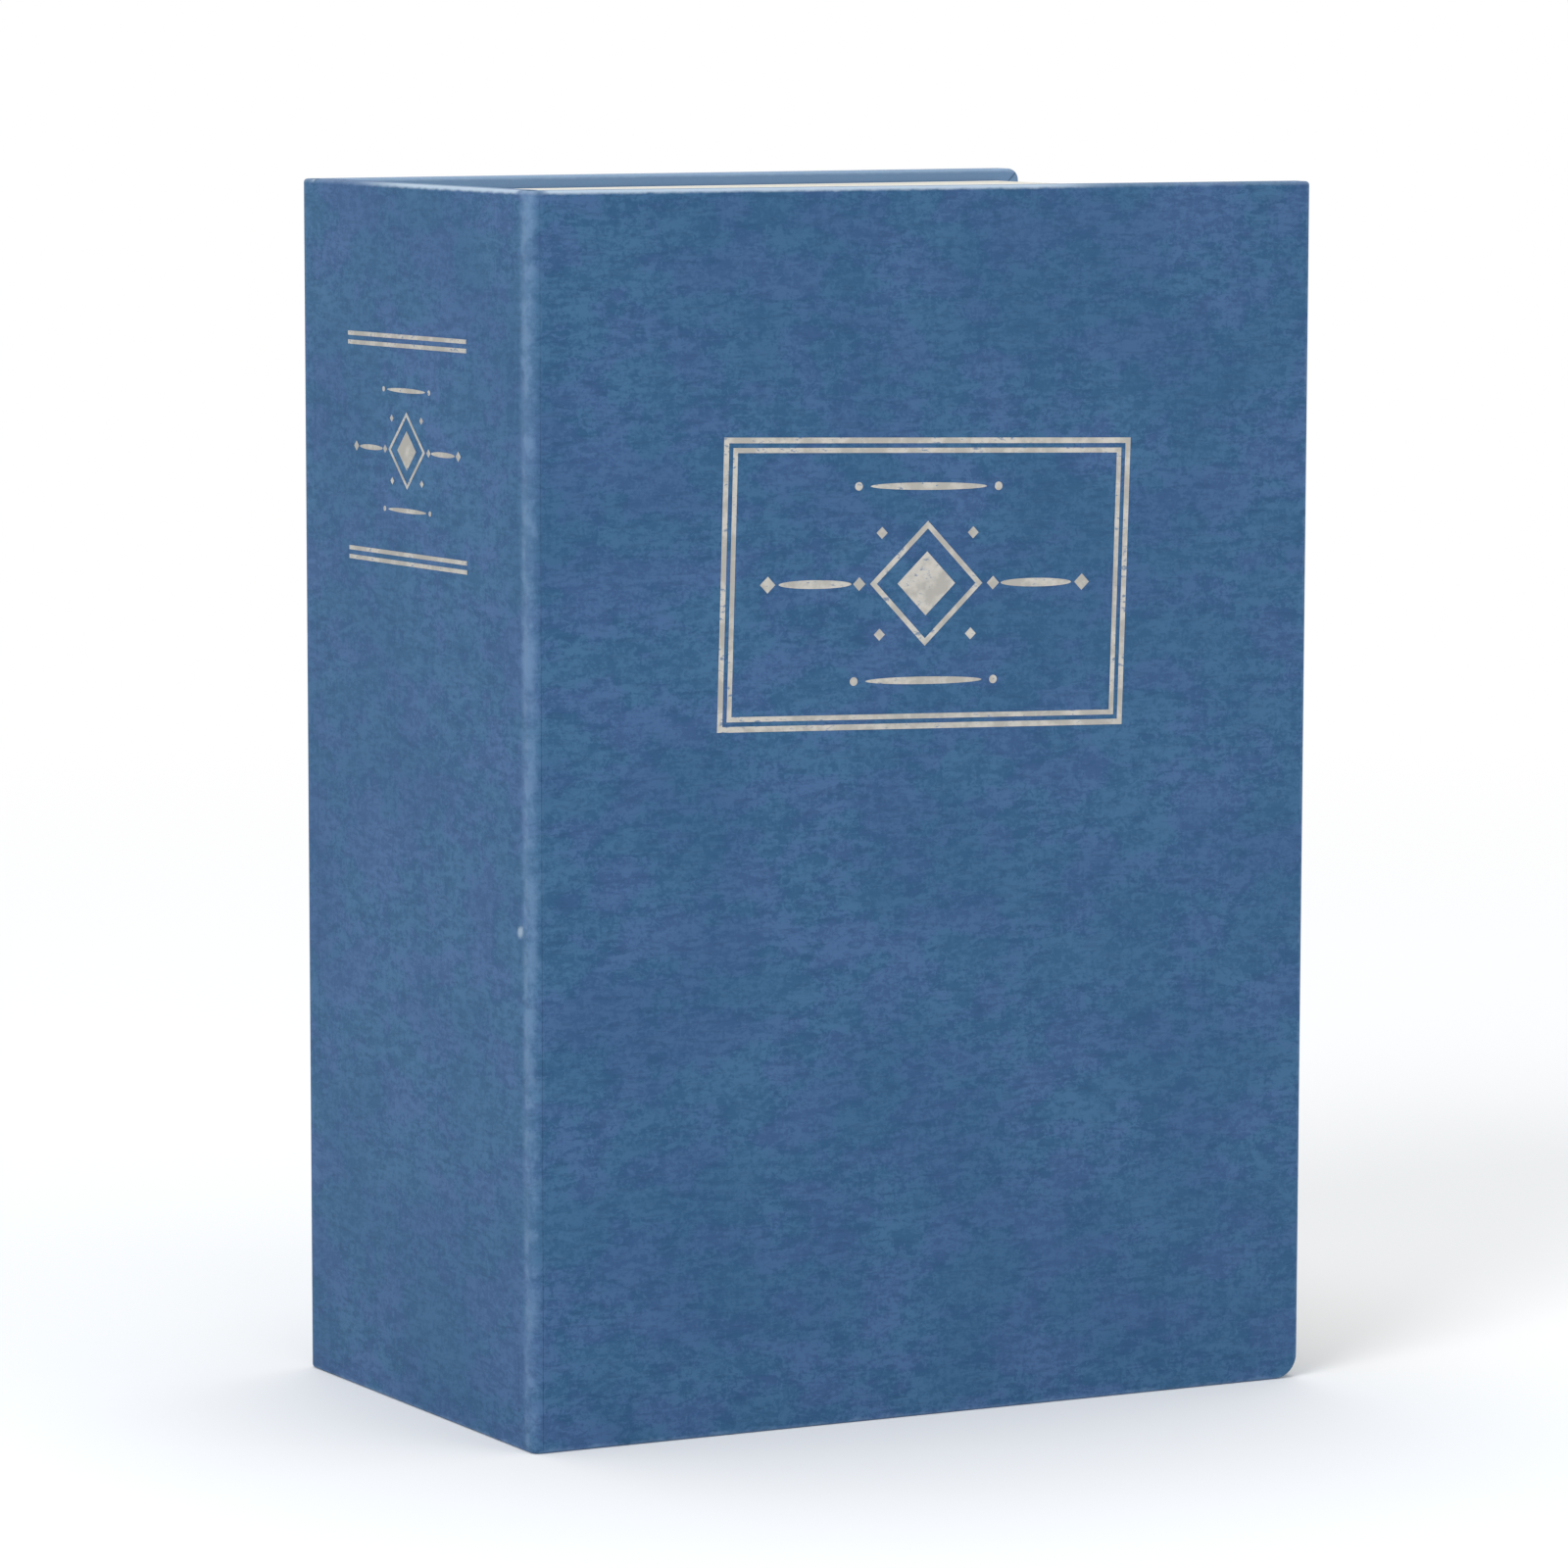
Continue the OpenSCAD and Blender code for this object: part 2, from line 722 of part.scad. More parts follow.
// The keyway lies level while the cam is turned away from the slot
module lock_plug() {
    color(CHROME) at_lock() difference() {
        union() {
            translate([0, 0, -flange_h]) cylinder(r = plug_head_r, h = plug_head_t);
            translate([0, 0, -flange_h]) cylinder(r = plug_r, h = flange_h + housing_end);
            translate([-tail_w / 2, -tail_w / 2, housing_end - 1])
                cube([tail_w, tail_w, tail_end + 1 - housing_end]);
        }
        translate([-keyway_h / 2, -keyway_w / 2, -flange_h - 1]) cube([keyway_h, keyway_w, keyway_d + 1]);
        translate([0, 0, tail_end - thread_len - 0.5])
            cylinder(r = screw_r + lock_clear, h = thread_len + 1);
        each_wafer() translate([0, 0, -lock_clear]) linear_extrude(wafer_t + 2 * lock_clear)
            square([2 * plug_r + 1, wafer_w + 2 * lock_clear], center = true);
    }
}

module each_wafer() {
    for (i = [0 : wafers - 1]) translate([0, 0, wafer_z0 - flange_h + wafer_pitch * i]) children();
}

// Wafers drawn level with the plug, as the key lifts them
module lock_wafers() {
    window_h = 3.8;
    window_w = keyway_w + 0.4;
    color(BRASS) at_lock() each_wafer() linear_extrude(wafer_t) difference() {
        intersection() {
            circle(r = plug_r - 0.1);
            square([2 * plug_r, wafer_w], center = true);
        }
        square([window_h, window_w], center = true);
    }
}

module tail_hole() {
    square([tail_w + 2 * lock_clear, tail_w + 2 * lock_clear], center = true);
}

// Disc on the plug's square tail; its tooth meets the housing's lug at either end of the turn
module stop_disc() {
    color(ZINC) at_lock() translate([0, 0, housing_end + 0.1]) linear_extrude(stop_t) difference() {
        union() {
            circle(r = stop_hub_r);
            intersection() {
                circle(r = housing_r - 0.3);
                wedge(stop_start - stop_tooth / 2, stop_start + stop_tooth / 2);
            }
        }
        tail_hole();
    }
}

// Flat cam with a round tip, turned towards the head of the book
module lock_cam() {
    tip_r = cam_w / 2;
    color(ZINC) at_lock() translate([0, 0, cam_z]) linear_extrude(cam_t) difference() {
        union() {
            circle(r = tip_r);
            rect(-tip_r, tip_r, tip_r - cam_reach, 0);
            translate([0, tip_r - cam_reach]) circle(r = tip_r);
        }
        tail_hole();
    }
}

module cam_screw() {
    slot_w = 0.8;
    color(ZINC) at_lock() difference() {
        union() {
            translate([0, 0, tail_end - thread_len])
                cylinder(r = screw_r, h = thread_len + cam_z + cam_t + 1 - tail_end);
            translate([0, 0, cam_z + cam_t]) cylinder(r = screw_head_r, h = screw_head_h);
        }
        translate([-screw_head_r - 1, -slot_w / 2, cam_z + cam_t + screw_head_h / 2])
            cube([2 * screw_head_r + 2, slot_w, screw_head_h]);
    }
}

front_board();
front_cloth();
front_lining();
spine_board();
spine_cloth();
spine_lining();
back_board();
back_cloth();
back_lining();
page_block();
tray();
tray_leaf();
tray_rivets();
hinge_pin();
lid();
lid_leaf();
lid_rivets();
lock_housing();
lock_washer();
lock_nut();
lock_plug();
lock_wafers();
stop_disc();
lock_cam();
cam_screw();
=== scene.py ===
import json
import math

import bmesh
import bpy
from bpy.props import FloatProperty, FloatVectorProperty, PointerProperty
from mathutils import Matrix, Vector


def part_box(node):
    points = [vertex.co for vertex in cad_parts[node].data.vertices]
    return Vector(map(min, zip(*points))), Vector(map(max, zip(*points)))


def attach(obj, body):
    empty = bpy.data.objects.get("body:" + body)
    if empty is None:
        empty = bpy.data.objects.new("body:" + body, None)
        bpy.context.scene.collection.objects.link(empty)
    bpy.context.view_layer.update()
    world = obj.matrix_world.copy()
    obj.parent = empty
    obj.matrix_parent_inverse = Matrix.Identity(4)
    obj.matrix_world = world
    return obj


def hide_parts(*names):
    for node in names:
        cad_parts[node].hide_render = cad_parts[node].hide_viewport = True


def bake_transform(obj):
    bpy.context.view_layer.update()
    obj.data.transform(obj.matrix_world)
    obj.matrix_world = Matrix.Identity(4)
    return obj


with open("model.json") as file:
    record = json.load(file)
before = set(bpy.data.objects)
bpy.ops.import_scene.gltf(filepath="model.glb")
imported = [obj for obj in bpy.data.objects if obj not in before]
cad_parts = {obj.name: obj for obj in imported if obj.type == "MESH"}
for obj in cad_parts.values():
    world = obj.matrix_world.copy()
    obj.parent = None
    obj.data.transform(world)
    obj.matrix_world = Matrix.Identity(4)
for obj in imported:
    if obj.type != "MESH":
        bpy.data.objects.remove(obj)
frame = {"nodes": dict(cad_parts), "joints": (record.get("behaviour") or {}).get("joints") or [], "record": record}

bl_info = {
    "name": "Book money box",
    "version": (1, 0, 0),
    "blender": (4, 5, 0),
    "location": "3D View > Sidebar > Book box",
    "description": "Dresses the solids of a money box that looks like a small clothbound book",
    "category": "Add Mesh",
}

MM = 0.001
# A hair's breadth, which keeps two surfaces from lying in one place
SKIN = 0.03 * MM
# Points that lie nearer than this become one
MERGE = 0.0005 * MM

JOINTS = {joint["name"]: joint for joint in frame["joints"]}
BODY_OF = {node: body for body, nodes in frame["record"]["behaviour"]["bodies"].items() for node in nodes}
FRONT_FOLD = Vector(JOINTS["cover_hinge"]["pos_m"][:2]).to_3d()
BACK_FOLD = Vector(JOINTS["spine_hinge"]["pos_m"][:2]).to_3d()
LOCK_AXIS = Vector(JOINTS["lock_turn"]["pos_m"])
AJAR = math.radians(-JOINTS["cover_hinge"]["range_deg"][0])
COVER_LOW, COVER_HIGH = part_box("back_cloth")
LINING_LOW, LINING_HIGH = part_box("back_lining")

# The small rubbed chip beside the front fold, from the fold's foot
CHIP_PLACE = Vector((0, 2.2, 48)) * MM

# The camera is fitted to the photograph, and its place is taken from the foot of the front fold
CAMERA_PLACE = Vector((-280.35, -506.84, 132.61)) * MM
CAMERA_SIDE = math.radians(31.201)
CAMERA_FALL = math.radians(6.977)
CAMERA_ROLL = math.radians(0.084)
CAMERA_LENS = 148.5
CAMERA_SENSOR = 36

# Name, place, width and power of each lamp, in metres and watts
LAMPS = (
    ("key", (-1.2, -0.55, 0.95), 0.8, 10.5),
    ("fill", (0.75, -1.15, 0.5), 1.1, 3.4),
    ("top", (0.0, 0.15, 1.35), 0.9, 6.5),
)
LAMP_AIM = Vector((0, 0, 0.055))
SKY_COLOUR = (0.94, 0.97, 1.0, 1)
SKY_STRENGTH = 0.62
# Distances from the middle over which the floor goes over into the white background
FLOOR_SEEN, FLOOR_GONE = 0.12, 0.55
FLOOR_RADIUS = 6


def length(name, default, description):
    return FloatProperty(
        name=name, description=description, default=default, min=0, subtype="DISTANCE", unit="LENGTH")


def angle(name, default, description):
    return FloatProperty(
        name=name, description=description, default=default, subtype="ANGLE", unit="ROTATION")


def colour(name, default, description):
    return FloatVectorProperty(
        name=name, description=description, default=default, min=0, max=1, size=3, subtype="COLOR")


class BookSizes(bpy.types.PropertyGroup):
    """Sizes of the case and of its stamping."""

    width: length("Width", COVER_HIGH.x - BACK_FOLD.x, "From the outside of the spine to the fore-edges")
    height: length("Height", COVER_HIGH.z, "Height of the covers")
    depth: length("Depth", BACK_FOLD.y - FRONT_FOLD.y, "Thickness over both shut covers")
    cover: length("Cover thickness", COVER_HIGH.y - COVER_LOW.y, "Thickness of a cover without its lining")
    cloth: length("Cloth thickness", 0.3 * MM, "Thickness of the covering")
    paper: length("Lining thickness", 0.14 * MM, "Thickness of the lining paper")
    turn_in: length("Turn-in", 12 * MM, "Width of the covering turned in over the boards")
    margin: length("Lining margin", 3 * MM, "Bare covering left around the lining paper")
    fold: length("Fold radius", 1 * MM, "Outer radius of the folds at the spine")
    spine_gap: length("Spine gap", 2.8 * MM, "From a fold's corner line to the spine board")
    edge: length("Edge rounding", 0.34 * MM, "Radius of the covering where it wraps the boards' edges")
    head_corner: length("Head corner", 0.35 * MM, "Radius of the front cover's fore corner at the head")
    foot_corner: length("Foot corner", 2.3 * MM, "Radius of the covers' fore corners at the foot")
    back_corner: length("Back corner", 1.2 * MM, "Radius of the back cover's fore corner at the head")
    frame_width: length("Frame width", 41.85 * MM, "Width of the stamped frame")
    frame_height: length("Frame height", 26.97 * MM, "Height of the stamped frame")
    frame_line: length("Frame line", 0.52 * MM, "Width of each line of the stamped frame")
    frame_gap: length("Frame gap", 0.42 * MM, "Gap between the two lines of the stamped frame")
    frame_across: length("Frame across", 39.67 * MM, "From the front fold to the middle of the stamped frame")
    frame_up: length("Frame up", 78.42 * MM, "From the foot to the middle of the stamped frame")
    frame_tilt: angle("Frame tilt", math.radians(-1.56), "Turn of the stamped frame out of level")
    rule_width: length("Rule length", 23.3 * MM, "Length of the stamped rules on the spine")
    rule_line: length("Rule line", 0.4 * MM, "Width of each stamped rule")
    rule_pitch: length("Rule pitch", 0.84 * MM, "Distance between the two rules of a pair")
    rule_across: length("Rules across", 23.67 * MM, "From the front fold to the middle of the rules")
    upper_rules: length("Upper rules", 100.91 * MM, "From the foot to the first rule of the upper pair")
    lower_rules: length("Lower rules", 80.68 * MM, "From the foot to the first rule of the lower pair")
    spine_ornament: length("Spine ornament", 90.35 * MM, "From the foot to the middle of the ornament")
    rule_tilt: angle("Rule tilt", math.radians(0.5), "Turn of the spine's stamping out of level")
    foil: length("Foil relief", 0.012 * MM, "How far the foil stands above the covering")


class BookColours(bpy.types.PropertyGroup):
    """Colours of the finishes."""

    cloth: colour("Cloth", (0.044, 0.122, 0.252), "Covering")
    # Darker cloth: painted shade in the hollows of the grain, and the cloth's own dark mottle, dashes and seams
    cloth_deep: colour("Deep cloth", (0.0140, 0.070, 0.172), "Covering in the hollows of its grain")
    # Pale cloth for wear on folds and edges, and for the painted highlight along the folds and the turn-in
    cloth_worn_and_lit: colour("Worn cloth", (0.158, 0.266, 0.425), "Covering rubbed pale on folds and edges")
    # Pale cloth for the painted highlight and wear along the head edges, and for the chip beside the front fold
    cloth_pale: colour("Pale cloth", (0.46, 0.56, 0.66), "Covering where the head edges are rubbed through")
    foil: colour("Foil", (0.50, 0.48, 0.44), "Stamping foil")
    board: colour("Board", (0.40, 0.37, 0.32), "Grey board")
    lining: colour("Lining", (0.76, 0.75, 0.71), "Lining paper")
    pages: colour("Pages", (0.735, 0.717, 0.665), "Moulded page edges")
    # Darker page colour: painted shade in the gaps between leaves, and the colour of scuffs
    pages_shade_and_scuff: colour("Page gaps", (0.50, 0.46, 0.39), "Gaps between page edges")
    enamel: colour("Enamel", (0.012, 0.0125, 0.0135), "Powder coating of the steel box")
    enamel_scuff: colour("Scuffed enamel", (0.06, 0.06, 0.06), "Powder coating where it is scuffed")
    zinc: colour("Zinc", (0.56, 0.57, 0.57), "Plated steel")
    chrome: colour("Chrome", (0.62, 0.63, 0.64), "Plated lock")
    brass: colour("Brass", (0.72, 0.50, 0.22), "Stamped brass")


# Finishes


class Value:
    """A shader socket that can be used in sums; each sum adds a Math node."""

    def __init__(self, finish, socket):
        self.finish = finish
        self.socket = socket

    def math(self, operation, first, second=0.0):
        return self.finish.add("ShaderNodeMath", {"operation": operation}, {0: first, 1: second})

    def __add__(self, other):
        return self.math("ADD", self, other)

    def __radd__(self, other):
        return self.math("ADD", other, self)

    def __sub__(self, other):
        return self.math("SUBTRACT", self, other)

    def __rsub__(self, other):
        return self.math("SUBTRACT", other, self)

    def __mul__(self, other):
        return self.math("MULTIPLY", self, other)

    def __rmul__(self, other):
        return self.math("MULTIPLY", other, self)

    def __abs__(self):
        return self.math("ABSOLUTE", self)

    def least(self, other):
        return self.math("MINIMUM", self, other)

    def most(self, other):
        return self.math("MAXIMUM", self, other)

    def out(self, name):
        return Value(self.finish, self.socket.node.outputs[name])

    def fade(self, start, end):
        """1 up to start, 0 past end, smooth between; or the other way round where end is the smaller."""
        low, high, first, last = (start, end, 1.0, 0.0) if start < end else (end, start, 0.0, 1.0)
        sockets = {0: self, 1: low, 2: high, 3: first, 4: last}
        return self.finish.add("ShaderNodeMapRange", {"interpolation_type": "SMOOTHSTEP"}, sockets)


class Finish:
    """A material that reads Object coordinates."""

    def __init__(self, name, base, roughness, metallic=0.0, specular=0.5):
        self.material = bpy.data.materials.new(name)
        self.material.use_nodes = True
        self.tree = self.material.node_tree
        self.shader = self.tree.nodes["Principled BSDF"]
        self.place = self.add("ShaderNodeTexCoord", {}, {}).out("Object")
        self.across = self.add("ShaderNodeSeparateXYZ", {}, {0: self.place})
        self.along, self.up = self.across.out("Y"), self.across.out("Z")
        self.set(self.shader, {
            "Base Color": self.rgba(base), "Roughness": roughness, "Metallic": metallic,
            "Specular IOR Level": specular,
        })

    def rgba(self, value):
        return value if isinstance(value, Value) else (*value, 1.0)

    def set(self, node, sockets):
        for key, value in sockets.items():
            if isinstance(value, Value):
                self.tree.links.new(value.socket, node.inputs[key])
            else:
                node.inputs[key].default_value = value

    def add(self, kind, settings, sockets):
        """A node of that kind; settings are set first, then the values and links of its sockets."""
        node = self.tree.nodes.new(kind)
        for key, value in settings.items():
            setattr(node, key, value)
        self.set(node, sockets)
        return Value(self, node.outputs[0])

    def scaled(self, vector, factors):
        return self.add("ShaderNodeVectorMath", {"operation": "MULTIPLY"}, {0: vector, 1: factors})

    def noise(self, scale, detail=2.0, roughness=0.5, stretch=(1, 1, 1), distortion=0.0):
        """Noise that is drawn out along the axes whose factor is under 1."""
        return self.add("ShaderNodeTexNoise", {}, {
            "Vector": self.scaled(self.place, stretch), "Scale": scale, "Detail": detail,
            "Roughness": roughness, "Distortion": distortion,
        })

    def cells(self, scale):
        return self.add("ShaderNodeTexVoronoi", {}, {"Vector": self.place, "Scale": scale})

    def mix(self, factor, first, second):
        """The first colour where the factor is 0, the second where it is 1."""
        sockets = {0: factor, 6: self.rgba(first), 7: self.rgba(second)}
        mixed = self.add("ShaderNodeMix", {"data_type": "RGBA"}, sockets)
        return Value(self, mixed.socket.node.outputs[2])

    def offset(self, point):
        """The place as seen from a point."""
        return self.add("ShaderNodeVectorMath", {"operation": "SUBTRACT"}, {0: self.place, 1: point})

    def from_point(self, point, factors=(1, 1, 1)):
        """Distance from a point, in the directions whose factor is 1."""
        vector = self.scaled(self.offset(point), factors)
        return self.add("ShaderNodeVectorMath", {"operation": "LENGTH"}, {0: vector}).out("Value")

    def around(self, line):
        """Distance from an upright line."""
        return self.from_point(line, (1, 1, 0))

    def turned(self, point, scale):
        """Fine grooves around the axis through a point along Y."""
        radius = self.from_point(point, (1, 0, 1))
        vector = self.add("ShaderNodeCombineXYZ", {}, {0: radius, 1: self.along})
        sockets = {"Vector": vector, "Scale": scale, "Detail": 3.0, "Roughness": 0.6}
        return self.add("ShaderNodeTexNoise", {}, sockets)

    def past(self, point, direction):
        """Distance beyond a plane through a point."""
        sockets = {0: self.offset(point), 1: direction}
        return self.add("ShaderNodeVectorMath", {"operation": "DOT_PRODUCT"}, sockets).out("Value")

    def bump(self, height, strength, distance):
        sockets = {"Strength": strength, "Distance": distance, "Height": height}
        self.set(self.shader, {"Normal": self.add("ShaderNodeBump", {}, sockets)})


def tinted(shade, *factors):
    """A colour with its parts multiplied by three factors, or all by one."""
    if len(factors) == 1:
        factors *= 3
    return [min(1.0, part * factor) for part, factor in zip(shade, factors)]


def cloth_ground(finish):
    """Fine grain with level fibres, mottled greenish and violet, with painted shade in the grain's hollows. Gives
    its colour, tone and relief.
    """
    colours = bpy.context.scene.book_colours
    grain = finish.noise(1950, 3.0, 0.62, distortion=1.0)
    fibre = finish.noise(1400, 5.0, 0.66, stretch=(0.36, 0.36, 1.0), distortion=0.7)
    weft = finish.noise(1300, 4.0, 0.62, stretch=(1.0, 1.0, 0.24))
    mottle = finish.noise(620, 3.0, 0.6, stretch=(0.5, 0.5, 1.0))
    blotch = finish.noise(230, 4.0, 0.6, stretch=(0.6, 0.6, 1.0))
    cloud = finish.noise(64)
    dashes = finish.noise(2200, 2.0, 0.55, stretch=(0.20, 0.20, 1.0)).fade(0.34, 0.45)
    greenish = tinted(colours.cloth, 0.80, 1.12, 0.92)
    violet = tinted(colours.cloth, 1.50, 0.97, 1.12)
    tone = grain * 0.32 + fibre * 0.36 + weft * 0.12 + mottle * 0.20
    # Darker where the grain's relief is low: painted shade in its hollows, with the cloth's own mottle
    base = finish.mix(tone.fade(0.558, 0.442), colours.cloth_deep, colours.cloth)
    base = finish.mix(blotch.fade(0.60, 0.44) * 0.32, base, greenish)
    base = finish.mix(blotch.fade(0.40, 0.54) * 0.32, base, violet)
    base = finish.mix(cloud.fade(0.62, 0.38) * 0.28, base, colours.cloth_deep)
    base = finish.mix(dashes * 0.26, base, tinted(colours.cloth_deep, 0.72))
    return base, tone, grain * 0.35 + fibre * 0.45 + weft * 0.20


def fold_wear_and_highlight(finish, near_front, near_back, ragged):
    """Wear of the folds with a painted highlight along them, more towards the head, with flecks beside them. The
    back fold is less rubbed.
    """
    height = bpy.context.scene.book_sizes.height
    rub = near_front.least(near_back + 0.9 * MM) + ragged
    # Painted highlight and wear along each fold, paler towards the head
    on_fold = rub.fade(0.1 * MM, 1.6 * MM) * (finish.up * (0.18 / height) + 0.15)
    flecks = finish.noise(420, 4.0, 0.65).fade(0.60, 0.42) * rub.fade(0.4 * MM, 1.2 * MM) * 0.30
    return on_fold + flecks


def lit_and_rubbed_head(finish, near_fold, depth, ragged, amount, fold_line):
    """Wear of the head edge and a painted highlight of light from above on it, strongest at its outer side and
    broken at the folds. On the front cover it fades before the fore-edge, and on the spine before the back fold."""
    height = bpy.context.scene.book_sizes.height
    head = ((height - finish.up) + ragged * 0.3).fade(0.12 * MM, 0.46 * MM)
    head = head * (0.28 + depth.fade(0.2 * MM, 1.1 * MM) * 0.54) * amount
    head = head * (1.0 - near_fold.fade(1.2 * MM, 2.2 * MM) * 0.75)
    if fold_line == FRONT_FOLD:
        head = head * (0.2 + (finish.across - FRONT_FOLD.x).fade(50 * MM, 60 * MM) * 0.8)
    elif fold_line is None:
        head = head * (0.15 + (finish.along - FRONT_FOLD.y).fade(22 * MM, 36 * MM) * 0.85)
    return head


def cloth_finish(name, outer_faces, head_wear_and_highlight, inner_wear_and_highlight, fold_line=None):
    """Blue bookcloth-look paper, rubbed pale on folds and edges, with painted highlight on the folds, the head
    and the turn-in below it. outer_faces are planes, each a point and the direction inwards; the next two
    arguments are how far the head and the turn-in below it are rubbed and painted pale; fold_line is the
    fold that a cover hangs on, and None for the spine."""
    colours = bpy.context.scene.book_colours
    sizes = bpy.context.scene.book_sizes
    finish = Finish(name, colours.cloth, 0.62, specular=0.28)
    base, tone, relief = cloth_ground(finish)
    ragged = (finish.noise(900, 3.0, 0.6) - 0.5) * (1.0 * MM)
    # The paler band lies on the spine side of each fold's bend, where its painted highlight falls
    past_fold = Vector((0.1, 0.75, 0)) * MM
    near_front = finish.around(FRONT_FOLD + past_fold)
    near_back = finish.around(BACK_FOLD - past_fold)
    folds = fold_wear_and_highlight(finish, near_front, near_back, ragged)
    edges = (finish.up + ragged).fade(0.05 * MM, 0.5 * MM) * 0.45
    if fold_line is not None:
        to_fore_edge = sizes.width - finish.around(fold_line)
        edges = edges.most((abs(to_fore_edge) + ragged).fade(0.05 * MM, 0.45 * MM) * 0.35)
    depth = finish.past(*outer_faces[0])
    for face in outer_faces[1:]:
        depth = depth.least(finish.past(*face))
    inner = depth.fade(sizes.cover * 0.9, sizes.cover * 0.6)
    # Paler turn-in below the head on the inner side: painted highlight of light from above, with wear
    turn_in = inner * (finish.up + ragged).fade(sizes.height - 2 * MM, sizes.height - 6 * MM)
    # Wear of edges, with painted highlight and wear on the folds and on the turn-in below the head
    rub_and_highlight = folds.most(edges).most(turn_in * inner_wear_and_highlight)
    base = finish.mix(rub_and_highlight, base, colours.cloth_worn_and_lit)
    if fold_line is not None:
        mitre = to_fore_edge - finish.up.least(sizes.height - finish.up)
        seam = abs(mitre).fade(0.03 * MM, 0.14 * MM) * inner
        base = finish.mix(seam * 0.7, base, tinted(colours.cloth_deep, 0.72))
        relief = relief - seam
    # Paler head edge: painted highlight of light from above, with wear, and the chip beside the front fold
    head = lit_and_rubbed_head(finish, near_front.least(near_back), depth, ragged, head_wear_and_highlight, fold_line)
    if fold_line is None:
        chip = finish.from_point(FRONT_FOLD + CHIP_PLACE) + ragged * 0.7
        head = head.most(chip.fade(0.15 * MM, 0.75 * MM) * 0.5)
    base = finish.mix(head, base, colours.cloth_pale)
    finish.set(finish.shader, {"Base Color": base, "Roughness": 0.58 + tone * 0.12 - rub_and_highlight * 0.08})
    finish.bump(relief, 0.36, 0.16 * MM)
    return finish.material


def foil_finish():
    """Silver-cream stamping foil that the cloth's grain breaks up."""
    colours = bpy.context.scene.book_colours
    finish = Finish("stamped_foil", colours.foil, 0.42, metallic=0.55)
    grain = finish.noise(3600, 3.0, 0.6, stretch=(0.4, 0.4, 1.0))
    patch = finish.noise(520, 3.0, 0.6)
    gone = (grain * 0.6 + patch * 0.4).fade(0.66, 0.56)
    base = finish.mix(patch.fade(0.62, 0.40), tinted(colours.foil, 0.74), colours.foil)
    base = finish.mix(gone * 0.75, base, colours.cloth)
    finish.set(finish.shader, {
        "Base Color": base, "Metallic": 0.55 - gone * 0.5, "Roughness": 0.36 + gone * 0.25 + patch * 0.12,
    })
    finish.bump(grain, 0.3, 0.06 * MM)
    return finish.material


def board_finish():
    """Grey board pressed from waste paper, with flecks and fibres."""
    colours = bpy.context.scene.book_colours
    finish = Finish("grey_board", colours.board, 0.92, specular=0.2)
    fleck = finish.cells(1400)
    fibre = finish.noise(1800, 4.0, 0.65, stretch=(0.3, 1.0, 1.0))
    base = finish.mix(fibre.fade(0.60, 0.38), tinted(colours.board, 1.35), colours.board)
    base = finish.mix(fleck.fade(0.10, 0.22) * 0.6, base, tinted(colours.board, 0.62))
    finish.set(finish.shader, {"Base Color": base, "Roughness": 0.84 + fibre * 0.12})
    finish.bump(fibre, 0.4, 0.08 * MM)
    return finish.material


def lining_finish():
    """Off-white lining paper, faintly cloudy, cockled by the glue and warmer towards head and foot."""
    colours = bpy.context.scene.book_colours
    finish = Finish("lining_paper", colours.lining, 0.80, specular=0.3)
    fibre = finish.noise(2400, 4.0, 0.62, stretch=(0.5, 0.5, 1.0))
    cloud = finish.noise(330, 3.0, 0.6)
    warm = tinted(colours.lining, 0.96, 0.94, 0.90)
    base = finish.mix(cloud.fade(0.64, 0.40) * 0.5, warm, colours.lining)
    base = finish.mix(fibre.fade(0.36, 0.50) * 0.35, base, warm)
    to_end = finish.up.least(bpy.context.scene.book_sizes.height - finish.up)
    base = finish.mix(to_end.fade(3 * MM, 7 * MM) * 0.25, base, warm)
    finish.set(finish.shader, {"Base Color": base, "Roughness": 0.74 + fibre * 0.14})
    finish.bump(fibre * 0.3 + finish.noise(120) * 1.6, 0.35, 0.12 * MM)
    return finish.material


def pages_finish():
    """Moulded page edges: hair lines of many leaves in sections, with painted shade in the gaps, and scuffs."""
    colours = bpy.context.scene.book_colours
    finish = Finish("moulded_pages", colours.pages, 0.58, specular=0.4)
    leaves = finish.noise(1.0, 3.0, 0.6, stretch=(28, 7200, 28))
    section = finish.noise(1.0, stretch=(18, 900, 18))
    scuff = finish.noise(900, 4.0, 0.65, stretch=(0.3, 1.0, 0.3))
    gap_shade = leaves.fade(0.36, 0.50)
    warm = tinted(colours.pages, 0.97, 0.94, 0.87)
    base = finish.mix(section.fade(0.62, 0.38), warm, colours.pages)
    # Painted shade in the gaps between the leaves
    base = finish.mix(gap_shade * 0.32, base, colours.pages_shade_and_scuff)
    base = finish.mix(scuff.fade(0.30, 0.42) * 0.18, base, colours.pages_shade_and_scuff)
    finish.set(finish.shader, {"Base Color": base, "Roughness": 0.50 + leaves * 0.18})
    finish.bump(leaves + section * 0.6, 0.5, 0.05 * MM)
    return finish.material


